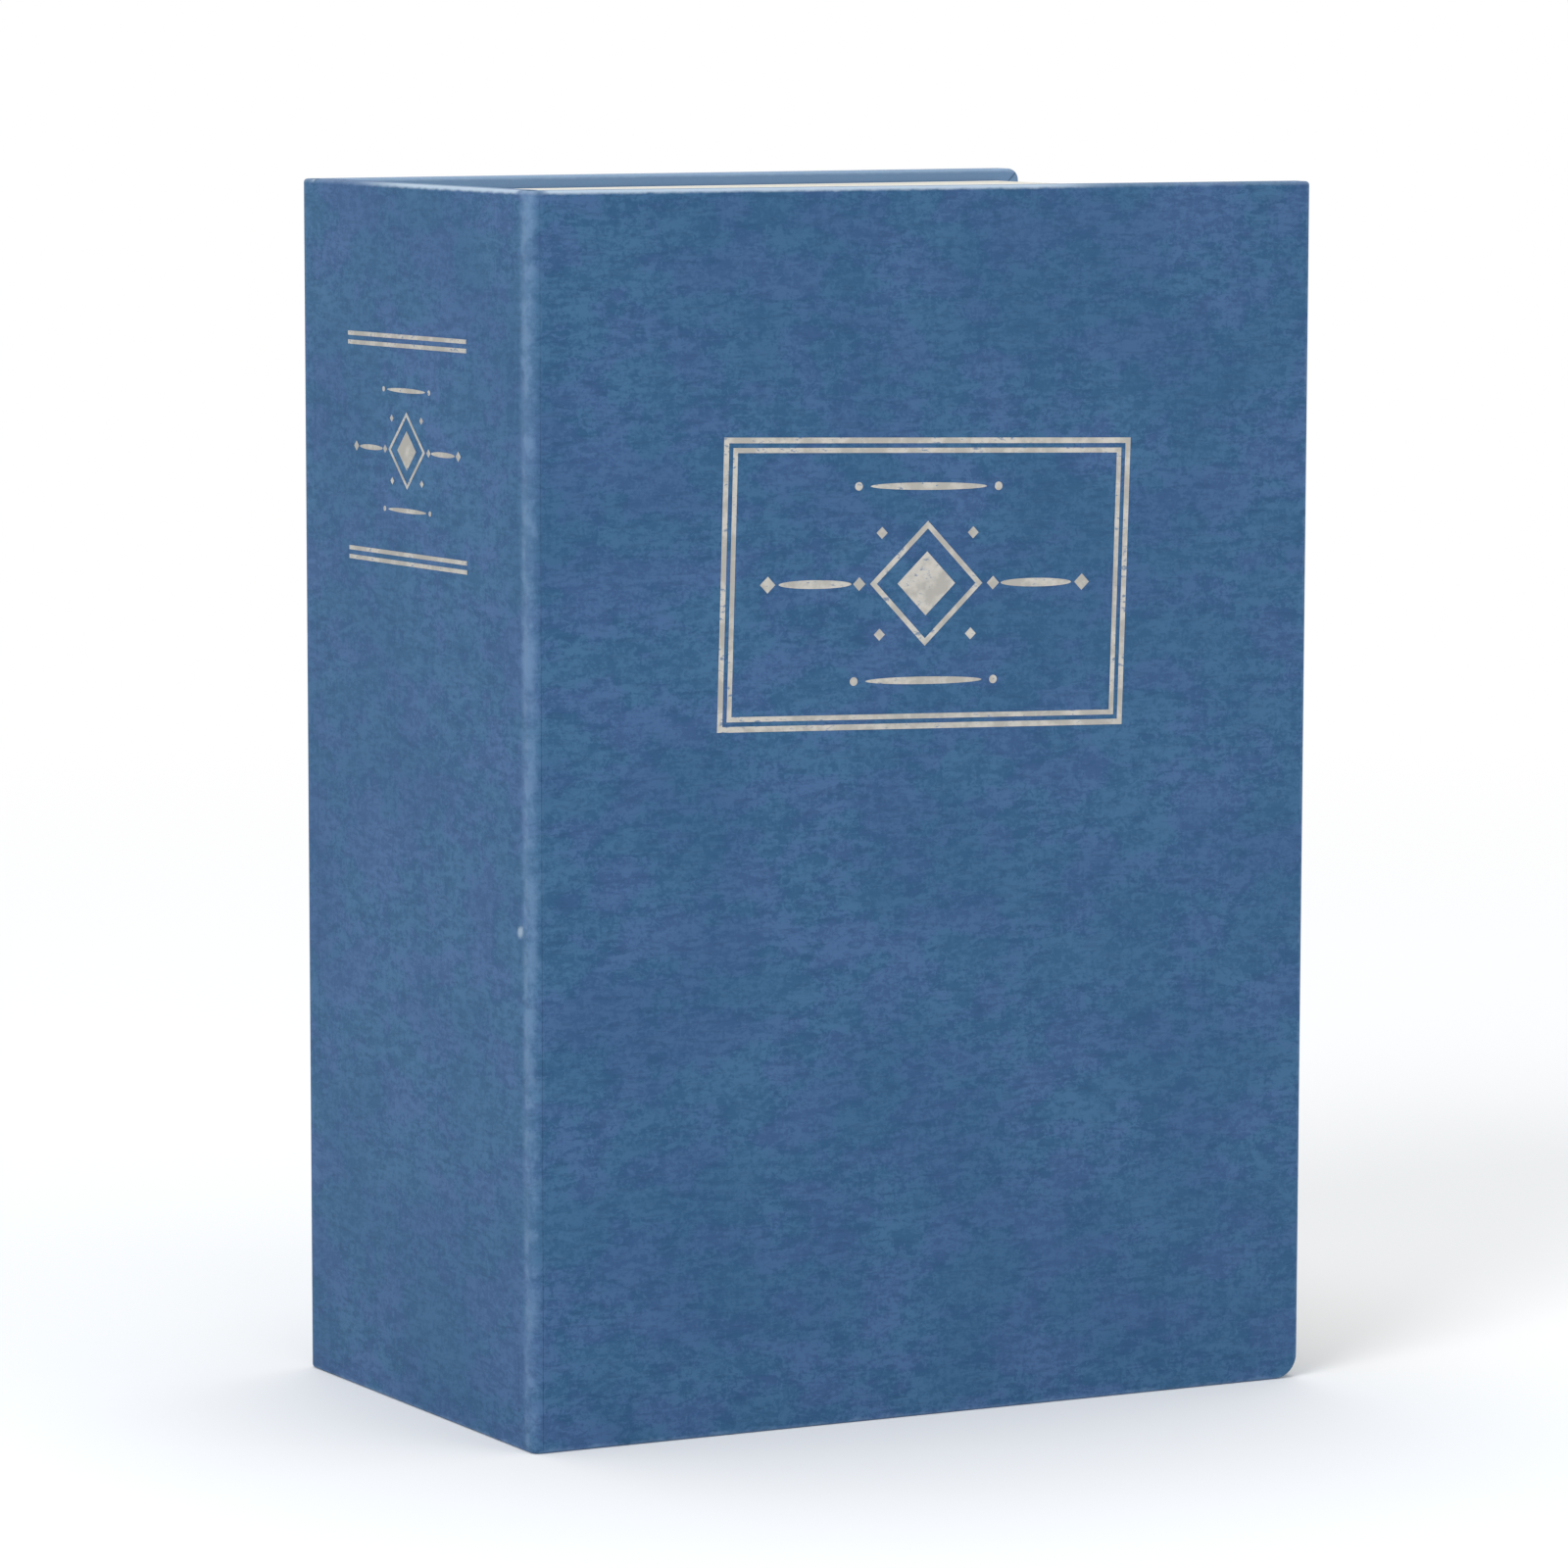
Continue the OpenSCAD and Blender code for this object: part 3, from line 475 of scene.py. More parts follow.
def enamel_finish(name):
    """Black powder coating with its fine orange peel, and a few handling marks."""
    colours = bpy.context.scene.book_colours
    finish = Finish(name, colours.enamel, 0.48, specular=0.32)
    peel = finish.noise(1500)
    speck = finish.cells(2600)
    haze = finish.noise(140, 3.0, 0.6)
    scuff = finish.noise(700, 5.0, 0.7, stretch=(0.25, 1.0, 1.0), distortion=1.2).fade(0.70, 0.60)
    pale = tinted(colours.enamel, 1.3)
    base = finish.mix(haze.fade(0.60, 0.38), pale, colours.enamel)
    base = finish.mix(scuff * 0.10, base, colours.enamel_scuff)
    base = finish.mix(speck.fade(0.06, 0.14) * 0.25, base, pale)
    finish.set(finish.shader, {"Base Color": base, "Roughness": 0.44 + haze * 0.04 + scuff * 0.1})
    finish.bump(peel + speck * 0.3, 0.42, 0.06 * MM)
    return finish.material


def metal_finish(name, base, roughness, brush, strength):
    """Bright metal with haze and small dark spots, brushed along one direction or, where brush is one
    number, turned around the lock's axis."""
    finish = Finish(name, base, roughness, metallic=1.0)
    if isinstance(brush, tuple):
        lines = finish.noise(1.0, 3.0, 0.6, stretch=brush)
    else:
        lines = finish.turned(LOCK_AXIS, brush)
    haze = finish.noise(380, 3.0, 0.6)
    speck = finish.cells(900)
    dark = tinted(base, 0.72)
    cold = tinted(base, 0.93, 0.97, 1.05)
    shade = finish.mix(lines.fade(0.64, 0.36) * 0.55, dark, base)
    shade = finish.mix(haze.fade(0.62, 0.42) * 0.25, shade, cold)
    shade = finish.mix(speck.fade(0.04, 0.10) * 0.25, shade, dark)
    rough = roughness * (0.78 + haze * 0.18 + lines * 0.25)
    finish.set(finish.shader, {"Base Color": shade, "Roughness": rough})
    finish.bump(lines, strength, 0.03 * MM)
    return finish.material


def finish_for(key):
    """The material of that name, made the first time that it is asked for."""
    found = bpy.data.materials.get(key)
    if found:
        return found
    colours = bpy.context.scene.book_colours
    spine_face = (FRONT_FOLD, Vector((1, 0, 0)))
    front_face = (FRONT_FOLD, Vector((math.sin(AJAR), math.cos(AJAR), 0)))
    back_face = (BACK_FOLD, Vector((0, -1, 0)))
    makers = {
        "front_cloth": lambda: cloth_finish("front_cloth", [front_face, spine_face], 1.0, 0.3, FRONT_FOLD),
        "back_cloth": lambda: cloth_finish("back_cloth", [back_face, spine_face], 0.85, 0.8, BACK_FOLD),
        "spine_cloth": lambda: cloth_finish("spine_cloth", [spine_face, front_face, back_face], 1.0, 0.0),
        "stamped_foil": foil_finish,
        "grey_board": board_finish,
        "lining_paper": lining_finish,
        "moulded_pages": pages_finish,
        "black_enamel": lambda: enamel_finish("black_enamel"),
        "zinc_sheet": lambda: metal_finish("zinc_sheet", colours.zinc, 0.34, (500, 500, 9000), 0.30),
        "zinc_wire": lambda: metal_finish("zinc_wire", colours.zinc, 0.28, (6000, 6000, 300), 0.22),
        "zinc_turned": lambda: metal_finish("zinc_turned", colours.zinc, 0.30, 7000, 0.25),
        "lock_chrome": lambda: metal_finish("lock_chrome", colours.chrome, 0.15, 6000, 0.16),
        "wafer_brass": lambda: metal_finish("wafer_brass", colours.brass, 0.30, (5000, 600, 600), 0.25),
    }
    return makers[key]()


# Modelling


def alone(piece):
    """Leaves only this piece selected and active."""
    bpy.ops.object.select_all(action="DESELECT")
    piece.select_set(True)
    bpy.context.view_layer.objects.active = piece


def edit(piece, kind="FACE"):
    """Opens a piece in edit mode with nothing selected."""
    alone(piece)
    bpy.ops.object.mode_set(mode="EDIT")
    bpy.ops.mesh.select_mode(type=kind)
    bpy.ops.mesh.select_all(action="DESELECT")


def done():
    bpy.ops.object.mode_set(mode="OBJECT")


def pick(piece, kind, wanted):
    """In edit mode, selects only the faces, edges or vertices that are wanted."""
    bpy.ops.mesh.select_mode(type=kind)
    bpy.ops.mesh.select_all(action="DESELECT")
    mesh = bmesh.from_edit_mesh(piece.data)
    for item in {"VERT": mesh.verts, "EDGE": mesh.edges, "FACE": mesh.faces}[kind]:
        if wanted(item):
            item.select_set(True)
    bmesh.update_edit_mesh(piece.data)


def middle(item):
    """Middle of a vertex, edge or face."""
    points = [item] if isinstance(item, bmesh.types.BMVert) else item.verts
    return sum((point.co for point in points), Vector()) / len(points)


def apply_place(piece):
    """Leaves the place, turn and size of a piece in its mesh."""
    alone(piece)
    bpy.ops.object.transform_apply(location=True, rotation=True, scale=True)
    return piece


def start_box(name, low, high):
    """A block between two corners."""
    low, high = Vector(low), Vector(high)
    bpy.ops.object.select_all(action="DESELECT")
    bpy.ops.mesh.primitive_cube_add(size=1, location=(low + high) / 2)
    piece = bpy.context.object
    piece.name = piece.data.name = name
    piece.scale = high - low
    return apply_place(piece)


def start_plate(name, sides, width, height):
    """A flat plate in the plane of X and Y: a rectangle of 4 sides, or an oval of more."""
    bpy.ops.object.select_all(action="DESELECT")
    if sides == 4:
        bpy.ops.mesh.primitive_plane_add(size=1)
    else:
        bpy.ops.mesh.primitive_circle_add(vertices=sides, radius=0.5, fill_type="NGON")
    piece = bpy.context.object
    piece.name = piece.data.name = name
    piece.scale = (width, height, 1)
    return apply_place(piece)


def put(piece, matrix):
    """Moves a piece by a matrix, and leaves its place in its mesh and its faces pointing outwards."""
    piece.matrix_world = matrix @ piece.matrix_world
    apply_place(piece)
    edit(piece)
    bpy.ops.mesh.select_all(action="SELECT")
    bpy.ops.mesh.remove_doubles(threshold=MERGE)
    bpy.ops.mesh.normals_make_consistent(inside=False)
    done()


def smooth(piece, degrees=32):
    """Shades evenly over all edges that are flatter than an angle."""
    alone(piece)
    bpy.ops.object.shade_smooth_by_angle(angle=math.radians(degrees))


def level(piece):
    """Shades flat faces evenly up to their rounded edges."""
    alone(piece)
    even = piece.modifiers.new("even", "WEIGHTED_NORMAL")
    even.keep_sharp = True
    bpy.ops.object.modifier_apply(modifier=even.name)


def joined(name, pieces):
    """Makes one piece of several."""
    bpy.ops.object.select_all(action="DESELECT")
    for piece in pieces:
        piece.select_set(True)
    bpy.context.view_layer.objects.active = pieces[0]
    bpy.ops.object.join()
    pieces[0].name = pieces[0].data.name = name
    return pieces[0]


def cut(point, normal):
    """In edit mode, cuts the whole mesh along a plane."""
    bpy.ops.mesh.select_all(action="SELECT")
    bpy.ops.mesh.bisect(plane_co=point, plane_no=normal)


def assign_paper():
    """In edit mode, gives the selected faces the second finish, the lining paper's."""
    bpy.context.object.active_material_index = 1
    bpy.ops.object.material_slot_assign()


def on_front():
    """Moves what is drawn along X, with its fold at x = 0 and its outer face at y = 0, to the front cover."""
    return Matrix.Translation(FRONT_FOLD) @ Matrix.Rotation(-AJAR, 4, "Z")


def on_back():
    """The same for the back cover, which is mirrored."""
    return Matrix.Translation(BACK_FOLD) @ Matrix.Scale(-1, 4, (0, 1, 0))


def on_spine():
    """The same for the spine, which lies along Y with its inner side towards +X."""
    return Matrix.Translation(FRONT_FOLD) @ Matrix(((0, 1, 0, 0), (1, 0, 0, 0), (0, 0, 1, 0), (0, 0, 0, 1)))


def sink_window(piece, far, above):
    """Lowers what lies inside the turn-ins and higher than above, by about the cloth's thickness and with a
    short slope around. far is where the fore-edge's turn-in begins, or 0 where there is none."""
    sizes = bpy.context.scene.book_sizes
    low, high, slope = sizes.turn_in, sizes.height - sizes.turn_in, 0.45 * MM
    edit(piece)
    for z in (low, low + slope, high - slope, high):
        cut((0, 0, z), (0, 0, 1))
    if far:
        for x in (far - slope, far):
            cut((x, 0, 0), (1, 0, 0))
    # A little less than the slope, so that the points at its lower end are taken too
    inner = slope * 0.9

    def inside(vertex):
        x, y, z = vertex.co
        return y > above and low + inner < z < high - inner and (not far or x < far - inner)

    pick(piece, "VERT", inside)
    bpy.ops.transform.translate(value=(0, SKIN - sizes.cloth, 0))
    done()


def round_edges(piece, wanted, radius, segments):
    """Rounds the edges that are wanted."""
    edit(piece, "EDGE")
    pick(piece, "EDGE", wanted)
    bpy.ops.mesh.bevel(offset=radius, segments=segments, profile=0.5, affect="EDGES", clamp_overlap=True)
    done()


def slab(name, start, end, corners, far):
    """A board wrapped in cloth. corners are the radii and heights of a cover's fore corners; the spine has
    none, and a fold at both of its ends."""
    sizes = bpy.context.scene.book_sizes
    tiny = 0.01 * MM
    # An end at a fold reaches a hair's breadth into it
    start -= SKIN
    end += 0 if corners else SKIN
    piece = start_box(name, (start, 0, 0), (end, sizes.cover, sizes.height))

    def through_board(edge):
        return abs(edge.verts[0].co.y - edge.verts[1].co.y) > tiny

    def wrapped(edge):
        if through_board(edge) or len(edge.link_faces) != 2:
            return False
        if abs(edge.link_faces[0].normal.y) + abs(edge.link_faces[1].normal.y) < 0.5:
            return False
        place = middle(edge)
        return start + tiny < place.x and (corners or place.x < end - tiny)

    for radius, z in corners:
        round_edges(piece, lambda edge: through_board(edge) and middle(edge).x > end - tiny
                    and abs(middle(edge).z - z) < tiny, radius, segments=8)
    round_edges(piece, wrapped, sizes.edge, segments=4)
    sink_window(piece, far, sizes.cover - tiny)
    return piece


def cut_at_margins():
    """In edit mode, cuts where the lining paper ends at head and foot. Gives the test for what is between."""
    sizes = bpy.context.scene.book_sizes
    low, high = sizes.margin, sizes.height - sizes.margin
    for z in (low, high):
        cut((0, 0, z), (0, 0, 1))
    return lambda face: low < middle(face).z < high


def finish_case_piece(piece, cloth, inner_side, placing):
    """Gives a slab its cloth, with paper on the narrow sides that face the folds, and places it."""
    piece.data.materials.append(finish_for(cloth))
    piece.data.materials.append(finish_for("lining_paper"))
    edit(piece)
    between = cut_at_margins()
    pick(piece, "FACE", lambda face: any(abs(middle(face).x - x) < 2 * SKIN for x in inner_side)
         and abs(face.normal.x) > 0.9 and between(face))
    assign_paper()
    done()
    put(piece, placing)
    smooth(piece)
    level(piece)
    return piece


def lining(name, start, end, margin, far, placing, body):
    """Lining paper glued over the turn-ins, following the step down to the board."""
    sizes = bpy.context.scene.book_sizes
    top = sizes.cover + sizes.paper
    piece = start_box(name, (start, sizes.cover, margin), (end, top, sizes.height - margin))
    sink_window(piece, far, 0)

    def rounded(edge):
        if len(edge.link_faces) != 2 or edge.link_faces[0].normal.dot(edge.link_faces[1].normal) >= 0.3:
            return False
        return middle(edge).y > top - sizes.paper * 0.5 - sizes.cloth * 0.9

    round_edges(piece, rounded, radius=0.05 * MM, segments=2)
    piece.data.materials.append(finish_for("lining_paper"))
    put(piece, placing)
    smooth(piece)
    level(piece)
    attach(piece, body)
    return piece


def fold(name, opening, cloth):
    """The flexible cloth of a fold, drawn from the spine (along y) round to the cover (along x).
    opening is the angle between the outer faces of spine and cover."""
    sizes = bpy.context.scene.book_sizes
    thick = sizes.cloth + sizes.paper
    paper_edge, overlap = 0.08 * MM, 0.001 * MM
    straight_steps, bend_steps = 4, 12
    bend_start = sizes.fold / math.tan(opening / 2)
    bpy.ops.object.select_all(action="DESELECT")
    bpy.ops.mesh.primitive_plane_add(size=1, rotation=(math.pi / 2, 0, 0))
    piece = bpy.context.object
    piece.name = piece.data.name = name
    piece.scale = (thick, sizes.height, 1)
    piece.location = (thick / 2, sizes.spine_gap, sizes.height / 2)
    apply_place(piece)
    edit(piece, "VERT")
    for side, radius in ((0, sizes.edge), (thick, paper_edge)):
        pick(piece, "VERT", lambda vertex: abs(vertex.co.x - side) < SKIN
             and min(vertex.co.z, sizes.height - vertex.co.z) < SKIN)
        bpy.ops.mesh.bevel(offset=radius, segments=4, profile=0.5, affect="VERTICES")
    bpy.ops.mesh.select_mode(type="FACE")
    bpy.ops.mesh.select_all(action="SELECT")
    for step in range(straight_steps):
        bpy.ops.mesh.extrude_region_move(
            TRANSFORM_OT_translate={"value": (0, (bend_start - sizes.spine_gap) / straight_steps, 0)})
    # Spin turns counter-clockwise about +Z where the angle is negative
    bpy.ops.mesh.spin(
        steps=bend_steps, angle=opening - math.pi, center=(sizes.fold, bend_start, 0), axis=(0, 0, 1))
    along = Vector((math.sin(opening), math.cos(opening), 0))
    last_part = along * (sizes.fold - bend_start + overlap)
    bpy.ops.mesh.extrude_region_move(TRANSFORM_OT_translate={"value": last_part})
    done()
    piece.data.materials.append(finish_for(cloth))
    piece.data.materials.append(finish_for("lining_paper"))
    return piece


def softened(node, material, rounding):
    """A CAD node with its sharp edges rounded as sheet, mouldings and turned parts have them."""
    source = frame["nodes"][node]
    piece = source.copy()
    piece.data = source.data.copy()
    piece.name = piece.data.name = node + "_edged"
    for key in list(piece.keys()):
        del piece[key]
    piece.parent = None
    bpy.context.scene.collection.objects.link(piece)
    piece.matrix_world = Matrix.Identity(4)
    edit(piece)
    bpy.ops.mesh.select_all(action="SELECT")
    bpy.ops.mesh.remove_doubles(threshold=MERGE)
    bpy.ops.mesh.dissolve_limited(angle_limit=math.radians(1))
    done()
    bevel = piece.modifiers.new("edges", "BEVEL")
    bevel.width = rounding
    bevel.segments = 2
    bevel.limit_method = "ANGLE"
    bevel.angle_limit = math.radians(30)
    bevel.use_clamp_overlap = True
    bpy.ops.object.modifier_apply(modifier=bevel.name)
    piece.data.materials.clear()
    piece.data.materials.append(finish_for(material))
    smooth(piece, degrees=34)
    level(piece)
    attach(piece, BODY_OF[node])
    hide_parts(node)
    return piece


def paint(node, material):
    """Gives a CAD node its finish."""
    data = frame["nodes"][node].data
    data.materials.clear()
    data.materials.append(finish_for(material))


# Foil pieces, drawn flat with x to the right, y up and z out of the cover


def stamped(piece):
    """Gives a flat plate the foil's thickness, partly pressed into the cloth."""
    sizes = bpy.context.scene.book_sizes
    sunk = 0.03 * MM
    edit(piece)
    bpy.ops.mesh.select_all(action="SELECT")
    bpy.ops.transform.translate(value=(0, 0, -sunk))
    bpy.ops.mesh.extrude_region_move(TRANSFORM_OT_translate={"value": (0, 0, sunk + sizes.foil)})
    done()
    return piece


def ring(name, width, height, line):
    """The outline of a rectangle, line wide."""
    piece = start_plate(name, 4, width, height)
    edit(piece)
    bpy.ops.mesh.select_all(action="SELECT")
    bpy.ops.mesh.inset(thickness=line)
    bpy.ops.mesh.delete(type="FACE")
    done()
    return stamped(piece)


def spot(name, sides, width, height, x=0.0, y=0.0, turn=0.0):
    """A filled rectangle of 4 sides, or an oval of more."""
    piece = start_plate(name, sides, width, height)
    piece.matrix_world = Matrix.Translation((x, y, 0)) @ Matrix.Rotation(turn, 4, "Z")
    return stamped(apply_place(piece))


def lozenge(name, size, x=0.0, y=0.0):
    return spot(name, 4, size, size, x, y, math.pi / 4)


def foil_on_front(x, z, tilt):
    flat = Matrix(((1, 0, 0, x), (0, 0, -1, 0), (0, 1, 0, z), (0, 0, 0, 1)))
    return on_front() @ flat @ Matrix.Rotation(tilt, 4, "Z")


def foil_on_spine(y, z, tilt):
    flat = Matrix(((0, 0, -1, 0), (-1, 0, 0, y), (0, 1, 0, z), (0, 0, 0, 1)))
    return Matrix.Translation(FRONT_FOLD) @ flat @ Matrix.Rotation(tilt, 4, "Z")


def finish_foil(piece, placing, body):
    """Gives a foil piece its finish, its place and its body."""
    piece.data.materials.clear()
    piece.data.materials.append(finish_for("stamped_foil"))
    put(piece, placing)
    smooth(piece)
    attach(piece, body)
    return piece


class BOOKBOX_OT_stage(bpy.types.Operator):
    """Camera, lamps, world and floor"""

    bl_idname = "bookbox.stage"
    bl_label = "Stage"

    def execute(self, context):
        scene = context.scene
        scene.view_settings.view_transform = "Standard"
        ahead = Vector((
            math.sin(CAMERA_SIDE) * math.cos(CAMERA_FALL),
            math.cos(CAMERA_SIDE) * math.cos(CAMERA_FALL),
            -math.sin(CAMERA_FALL),
        ))
        level_right = Vector((math.cos(CAMERA_SIDE), -math.sin(CAMERA_SIDE), 0))
        level_above = level_right.cross(ahead)
        right = level_right * math.cos(CAMERA_ROLL) + level_above * math.sin(CAMERA_ROLL)
        above = level_above * math.cos(CAMERA_ROLL) - level_right * math.sin(CAMERA_ROLL)
        camera = bpy.data.objects.new("camera", bpy.data.cameras.new("camera"))
        camera.data.lens = CAMERA_LENS
        camera.data.sensor_width = CAMERA_SENSOR
        camera.data.clip_start = 0.01
        turn = Matrix((right, above, -ahead)).transposed().to_4x4()
        camera.matrix_world = Matrix.Translation(FRONT_FOLD + CAMERA_PLACE) @ turn
        scene.collection.objects.link(camera)
        scene.camera = camera
        for lamp in LAMPS:
            self.lamp(*lamp)
        self.world(scene)
        self.floor()
        return {"FINISHED"}

    def lamp(self, name, place, size, power):
        light = bpy.data.lights.new(name, "AREA")
        light.shape = "DISK"
        light.size = size
        light.energy = power
        lamp = bpy.data.objects.new(name, light)
        aim = LAMP_AIM - Vector(place)
        lamp.matrix_world = Matrix.Translation(place) @ aim.to_track_quat("-Z", "Y").to_matrix().to_4x4()
        bpy.context.scene.collection.objects.link(lamp)

    def seen(self, tree):
        """1 for camera, glossy and transmission rays, else 0."""
        path = tree.nodes.new("ShaderNodeLightPath")
        total = path.outputs["Is Camera Ray"]
        for name in ("Is Glossy Ray", "Is Transmission Ray"):
            most = tree.nodes.new("ShaderNodeMath")
            most.operation = "MAXIMUM"
            tree.links.new(total, most.inputs[0])
            tree.links.new(path.outputs[name], most.inputs[1])
            total = most.outputs[0]
        return total

    def world(self, scene):
        scene.world = scene.world or bpy.data.worlds.new("studio")
        scene.world.use_nodes = True
        tree = scene.world.node_tree
        tree.nodes.clear()
        lit, white, mix, out = (tree.nodes.new(kind) for kind in (
            "ShaderNodeBackground", "ShaderNodeBackground", "ShaderNodeMixShader", "ShaderNodeOutputWorld"))
        lit.inputs["Color"].default_value = SKY_COLOUR
        lit.inputs["Strength"].default_value = SKY_STRENGTH
        white.inputs["Color"].default_value = (1, 1, 1, 1)
        white.inputs["Strength"].default_value = 1.0
        tree.links.new(self.seen(tree), mix.inputs[0])
        tree.links.new(lit.outputs[0], mix.inputs[1])
        tree.links.new(white.outputs[0], mix.inputs[2])
        tree.links.new(mix.outputs[0], out.inputs[0])

    def floor(self):
        bpy.ops.object.select_all(action="DESELECT")
        bpy.ops.mesh.primitive_circle_add(vertices=64, radius=FLOOR_RADIUS, fill_type="NGON")
        floor = bpy.context.object
        floor.name = "floor"
        finish = Finish("pale_floor", (0.9, 0.9, 0.9), 0.9, specular=0.0)
        tree = finish.tree
        far = finish.around((0, 0, 0)).fade(FLOOR_GONE, FLOOR_SEEN) * Value(finish, self.seen(tree))
        glow = finish.add("ShaderNodeEmission", {}, {"Color": (1, 1, 1, 1), "Strength": 1.0})
        shade = Value(finish, finish.shader.outputs[0])
        mixed = finish.add("ShaderNodeMixShader", {}, {0: far, 1: shade, 2: glow})
        finish.set(tree.nodes["Material Output"], {"Surface": mixed})
        floor.data.materials.append(finish.material)


class BOOKBOX_OT_covers(bpy.types.Operator):
    """Front cover, back cover and spine: boards wrapped in cloth"""

    bl_idname = "bookbox.covers"
    bl_label = "Covers and spine"

    def execute(self, context):
        sizes = context.scene.book_sizes
        far = sizes.width - sizes.turn_in
        corners = [(sizes.head_corner, sizes.height), (sizes.foot_corner, 0)]
        front = slab("front_cover", sizes.fold, sizes.width, corners, far)
        finish_case_piece(front, "front_cloth", [sizes.fold], on_front())
        corners = [(sizes.back_corner, sizes.height), (sizes.foot_corner, 0)]
        back = slab("back_cover", sizes.fold, sizes.width, corners, far)
        finish_case_piece(back, "back_cloth", [sizes.fold], on_back())
        ends = [sizes.spine_gap, sizes.depth - sizes.spine_gap]
        spine = slab("spine_panel", ends[0], ends[1], [], 0)
        finish_case_piece(spine, "spine_cloth", ends, on_spine())
        for piece, body, node in (
            (front, "front", "front_cloth"), (back, "back", "back_cloth"), (spine, "spine", "spine_cloth"),
        ):
            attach(piece, body)
            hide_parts(node)
        for node in ("front_board", "spine_board", "back_board"):
            paint(node, "grey_board")
        return {"FINISHED"}


class BOOKBOX_OT_folds(bpy.types.Operator):
    """Flexible cloth between the spine and each cover"""

    bl_idname = "bookbox.folds"
    bl_label = "Folds"

    def execute(self, context):
        right = math.pi / 2
        placing = Matrix.Translation(FRONT_FOLD)
        self.make("front_fold", right + AJAR, placing, "spine_cloth", ("spine", "front"))
        self.make("back_fold", right, on_back(), "back_cloth", ("spine", "back"))
        return {"FINISHED"}

    def make(self, name, opening, placing, cloth, bodies):
        sizes = bpy.context.scene.book_sizes
        piece = fold(name, opening, cloth)
        along = Vector((math.sin(opening), math.cos(opening), 0))
        inwards = Vector((-along.y, along.x, 0))

        def papered(face):
            place = middle(face)
            at_end = place.y > sizes.spine_gap - SKIN or place.dot(along) > sizes.fold
            return between(face) and (at_end or min(place.x, place.dot(inwards)) > sizes.cloth + SKIN)

        edit(piece)
        between = cut_at_margins()
        pick(piece, "FACE", papered)
        assign_paper()
        done()
        put(piece, placing)
        smooth(piece)
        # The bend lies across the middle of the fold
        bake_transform(piece)


class BOOKBOX_OT_linings(bpy.types.Operator):
    """Lining papers of the covers and the spine"""

    bl_idname = "bookbox.linings"
    bl_label = "Linings"

    def execute(self, context):
        sizes = context.scene.book_sizes
        margin, far = sizes.margin, sizes.width - sizes.turn_in
        front = lining("front_paper", sizes.fold, sizes.width - margin, margin, far, on_front(), "front")
        end = LINING_HIGH.x - BACK_FOLD.x
        back = lining("back_paper", sizes.fold, end, LINING_LOW.z, far, on_back(), "back")
        end = sizes.depth - sizes.spine_gap
        spine = lining("spine_paper", sizes.spine_gap, end, margin, 0, on_spine(), "spine")
        for piece, node in ((front, "front_lining"), (back, "back_lining"), (spine, "spine_lining")):
            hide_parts(node)
        return {"FINISHED"}


class BOOKBOX_OT_front_stamping(bpy.types.Operator):
    """Double-line frame on the front cover, with a plain printer's ornament in it"""

    bl_idname = "bookbox.front_stamping"
    bl_label = "Front stamping"

    def execute(self, context):
        sizes = context.scene.book_sizes
        step = 2 * (sizes.frame_line + sizes.frame_gap)
        placing = foil_on_front(sizes.frame_across, sizes.frame_up, sizes.frame_tilt)
        lines = joined("front_frame", [
            ring("outer", sizes.frame_width, sizes.frame_height, sizes.frame_line),
            ring("inner", sizes.frame_width - step, sizes.frame_height - step, sizes.frame_line * 0.9),
        ])
        finish_foil(lines, placing, "front")
        finish_foil(ornament("front_ornament", 1.0), placing, "front")
        return {"FINISHED"}


def ornament(name, scale):
    """A plain printer's ornament: two nested lozenges between swelled rules, with small lozenges and dots."""
    unit = scale * MM
    oval, dot = 40, 16
    outline, heart = 8.2 * unit, 4.2 * unit
    rule_place, end_place, near_place = 11.4 * unit, 16.2 * unit, 6.9 * unit
    bar_place, dot_place, flank_place = 9.0 * unit, 7.2 * unit, 4.7 * unit
    parts = [ring("outline", outline, outline, line=0.5 * unit), spot("heart", 4, heart, heart)]
    for piece in parts:
        piece.matrix_world = Matrix.Rotation(math.pi / 4, 4, "Z")
        apply_place(piece)
    for side in (-1, 1):
        parts.append(spot("rule", oval, 7.4 * unit, 0.8 * unit, side * rule_place))
        parts.append(lozenge("end", 1.1 * unit, side * end_place))
        parts.append(lozenge("near", 0.9 * unit, side * near_place))
        parts.append(spot("bar", oval, 12.0 * unit, 0.7 * unit, 0, side * bar_place))
        for out in (-1, 1):
            parts.append(spot("dot", dot, 0.8 * unit, 0.8 * unit, out * dot_place, side * bar_place))
            parts.append(lozenge("flank", 0.8 * unit, out * flank_place, side * flank_place))
    return joined(name, parts)


class BOOKBOX_OT_spine_stamping(bpy.types.Operator):
    """Two pairs of rules on the spine, with a small ornament between them"""

    bl_idname = "bookbox.spine_stamping"
    bl_label = "Spine stamping"

    def execute(self, context):
        sizes = context.scene.book_sizes
        for name, up in (("upper_rules", sizes.upper_rules), ("lower_rules", sizes.lower_rules)):
            pair = joined(name, [
                spot("first", 4, sizes.rule_width, sizes.rule_line),
                spot("second", 4, sizes.rule_width, sizes.rule_line, 0, -sizes.rule_pitch),
            ])
            finish_foil(pair, foil_on_spine(sizes.rule_across, up, sizes.rule_tilt), "spine")
        placing = foil_on_spine(sizes.rule_across, sizes.spine_ornament, sizes.rule_tilt)
        finish_foil(ornament("spine_ornament", 0.62), placing, "spine")
        return {"FINISHED"}


class BOOKBOX_OT_page_block(bpy.types.Operator):
    """Moulded page block"""

    bl_idname = "bookbox.page_block"
    bl_label = "Page block"

    def execute(self, context):
        paint("page_block", "moulded_pages")
        return {"FINISHED"}


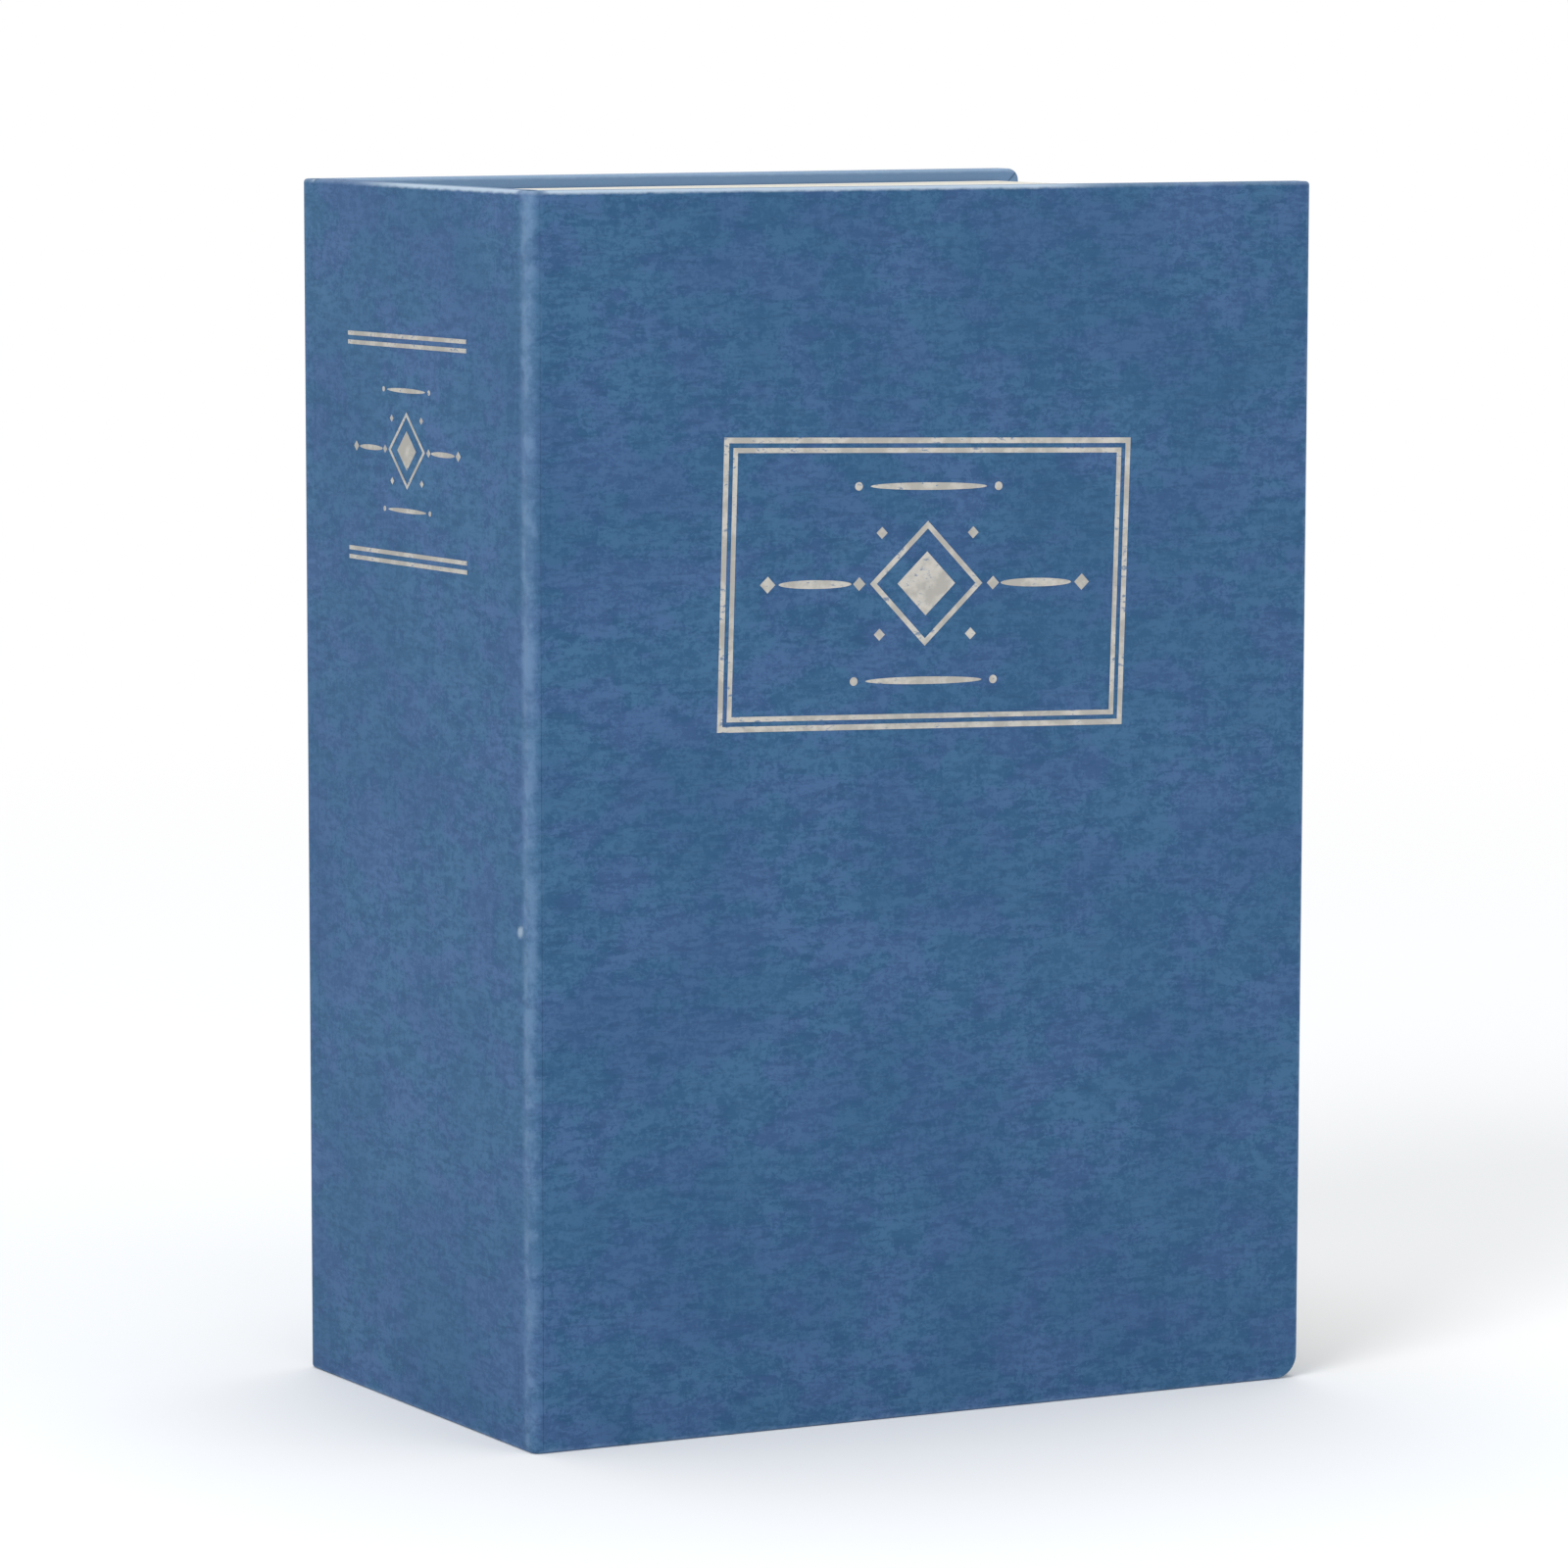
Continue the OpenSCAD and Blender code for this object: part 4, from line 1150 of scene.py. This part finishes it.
class BOOKBOX_OT_steel_box(bpy.types.Operator):
    """Powder-coated tray and lid with their rivets"""

    bl_idname = "bookbox.steel_box"
    bl_label = "Steel box"

    def execute(self, context):
        for node in ("tray", "lid"):
            softened(node, "black_enamel", 0.14 * MM)
        paint("tray_rivets", "zinc_sheet")
        paint("lid_rivets", "black_enamel")
        return {"FINISHED"}


class BOOKBOX_OT_hinge(bpy.types.Operator):
    """Piano hinge of the lid"""

    bl_idname = "bookbox.hinge"
    bl_label = "Hinge"

    def execute(self, context):
        for node, material, rounding in (
            ("tray_leaf", "zinc_sheet", 0.06),
            ("lid_leaf", "zinc_sheet", 0.06),
            ("hinge_pin", "zinc_wire", 0.10),
        ):
            softened(node, material, rounding * MM)
        return {"FINISHED"}


class BOOKBOX_OT_lock(bpy.types.Operator):
    """Cam lock in the lid"""

    bl_idname = "bookbox.lock"
    bl_label = "Lock"

    def execute(self, context):
        for node, material, rounding, slot in (
            ("lock_housing", "lock_chrome", 0.07, "chrome"),
            ("lock_plug", "lock_chrome", 0.06, "chrome"),
            ("lock_nut", "zinc_turned", 0.16, "zinc_steel"),
            ("lock_cam", "zinc_sheet", 0.12, "zinc_steel"),
            ("cam_screw", "zinc_turned", 0.12, "zinc_steel"),
            ("stop_disc", "zinc_sheet", 0.06, "zinc_steel"),
            ("lock_wafers", "wafer_brass", 0.05, "brass"),
            ("lock_washer", "zinc_turned", 0.05, "zinc_steel"),
        ):
            softened(node, material, rounding * MM)
        return {"FINISHED"}


class BOOKBOX_PT_panel(bpy.types.Panel):
    """Lists the pieces, sizes and colours in the sidebar"""

    bl_idname = "BOOKBOX_PT_panel"
    bl_label = "Book money box"
    bl_space_type = "VIEW_3D"
    bl_region_type = "UI"
    bl_category = "Book box"

    def draw(self, context):
        for operator in OPERATORS:
            self.layout.operator(operator.bl_idname)
        for group in (context.scene.book_sizes, context.scene.book_colours):
            column = self.layout.column()
            for key in group.__annotations__:
                column.prop(group, key)


OPERATORS = (
    BOOKBOX_OT_stage, BOOKBOX_OT_covers, BOOKBOX_OT_folds, BOOKBOX_OT_linings, BOOKBOX_OT_front_stamping,
    BOOKBOX_OT_spine_stamping, BOOKBOX_OT_page_block, BOOKBOX_OT_steel_box, BOOKBOX_OT_hinge, BOOKBOX_OT_lock,
)
CLASSES = (BookSizes, BookColours, *OPERATORS, BOOKBOX_PT_panel)


def register():
    for item in CLASSES:
        bpy.utils.register_class(item)
    bpy.types.Scene.book_sizes = PointerProperty(type=BookSizes)
    bpy.types.Scene.book_colours = PointerProperty(type=BookColours)


def unregister():
    del bpy.types.Scene.book_colours
    del bpy.types.Scene.book_sizes
    for item in reversed(CLASSES):
        bpy.utils.unregister_class(item)


def main():
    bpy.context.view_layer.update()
    register()
    for operator in OPERATORS:
        getattr(bpy.ops.bookbox, operator.bl_idname.split(".")[1])()


if __name__ == "__main__":
    main()
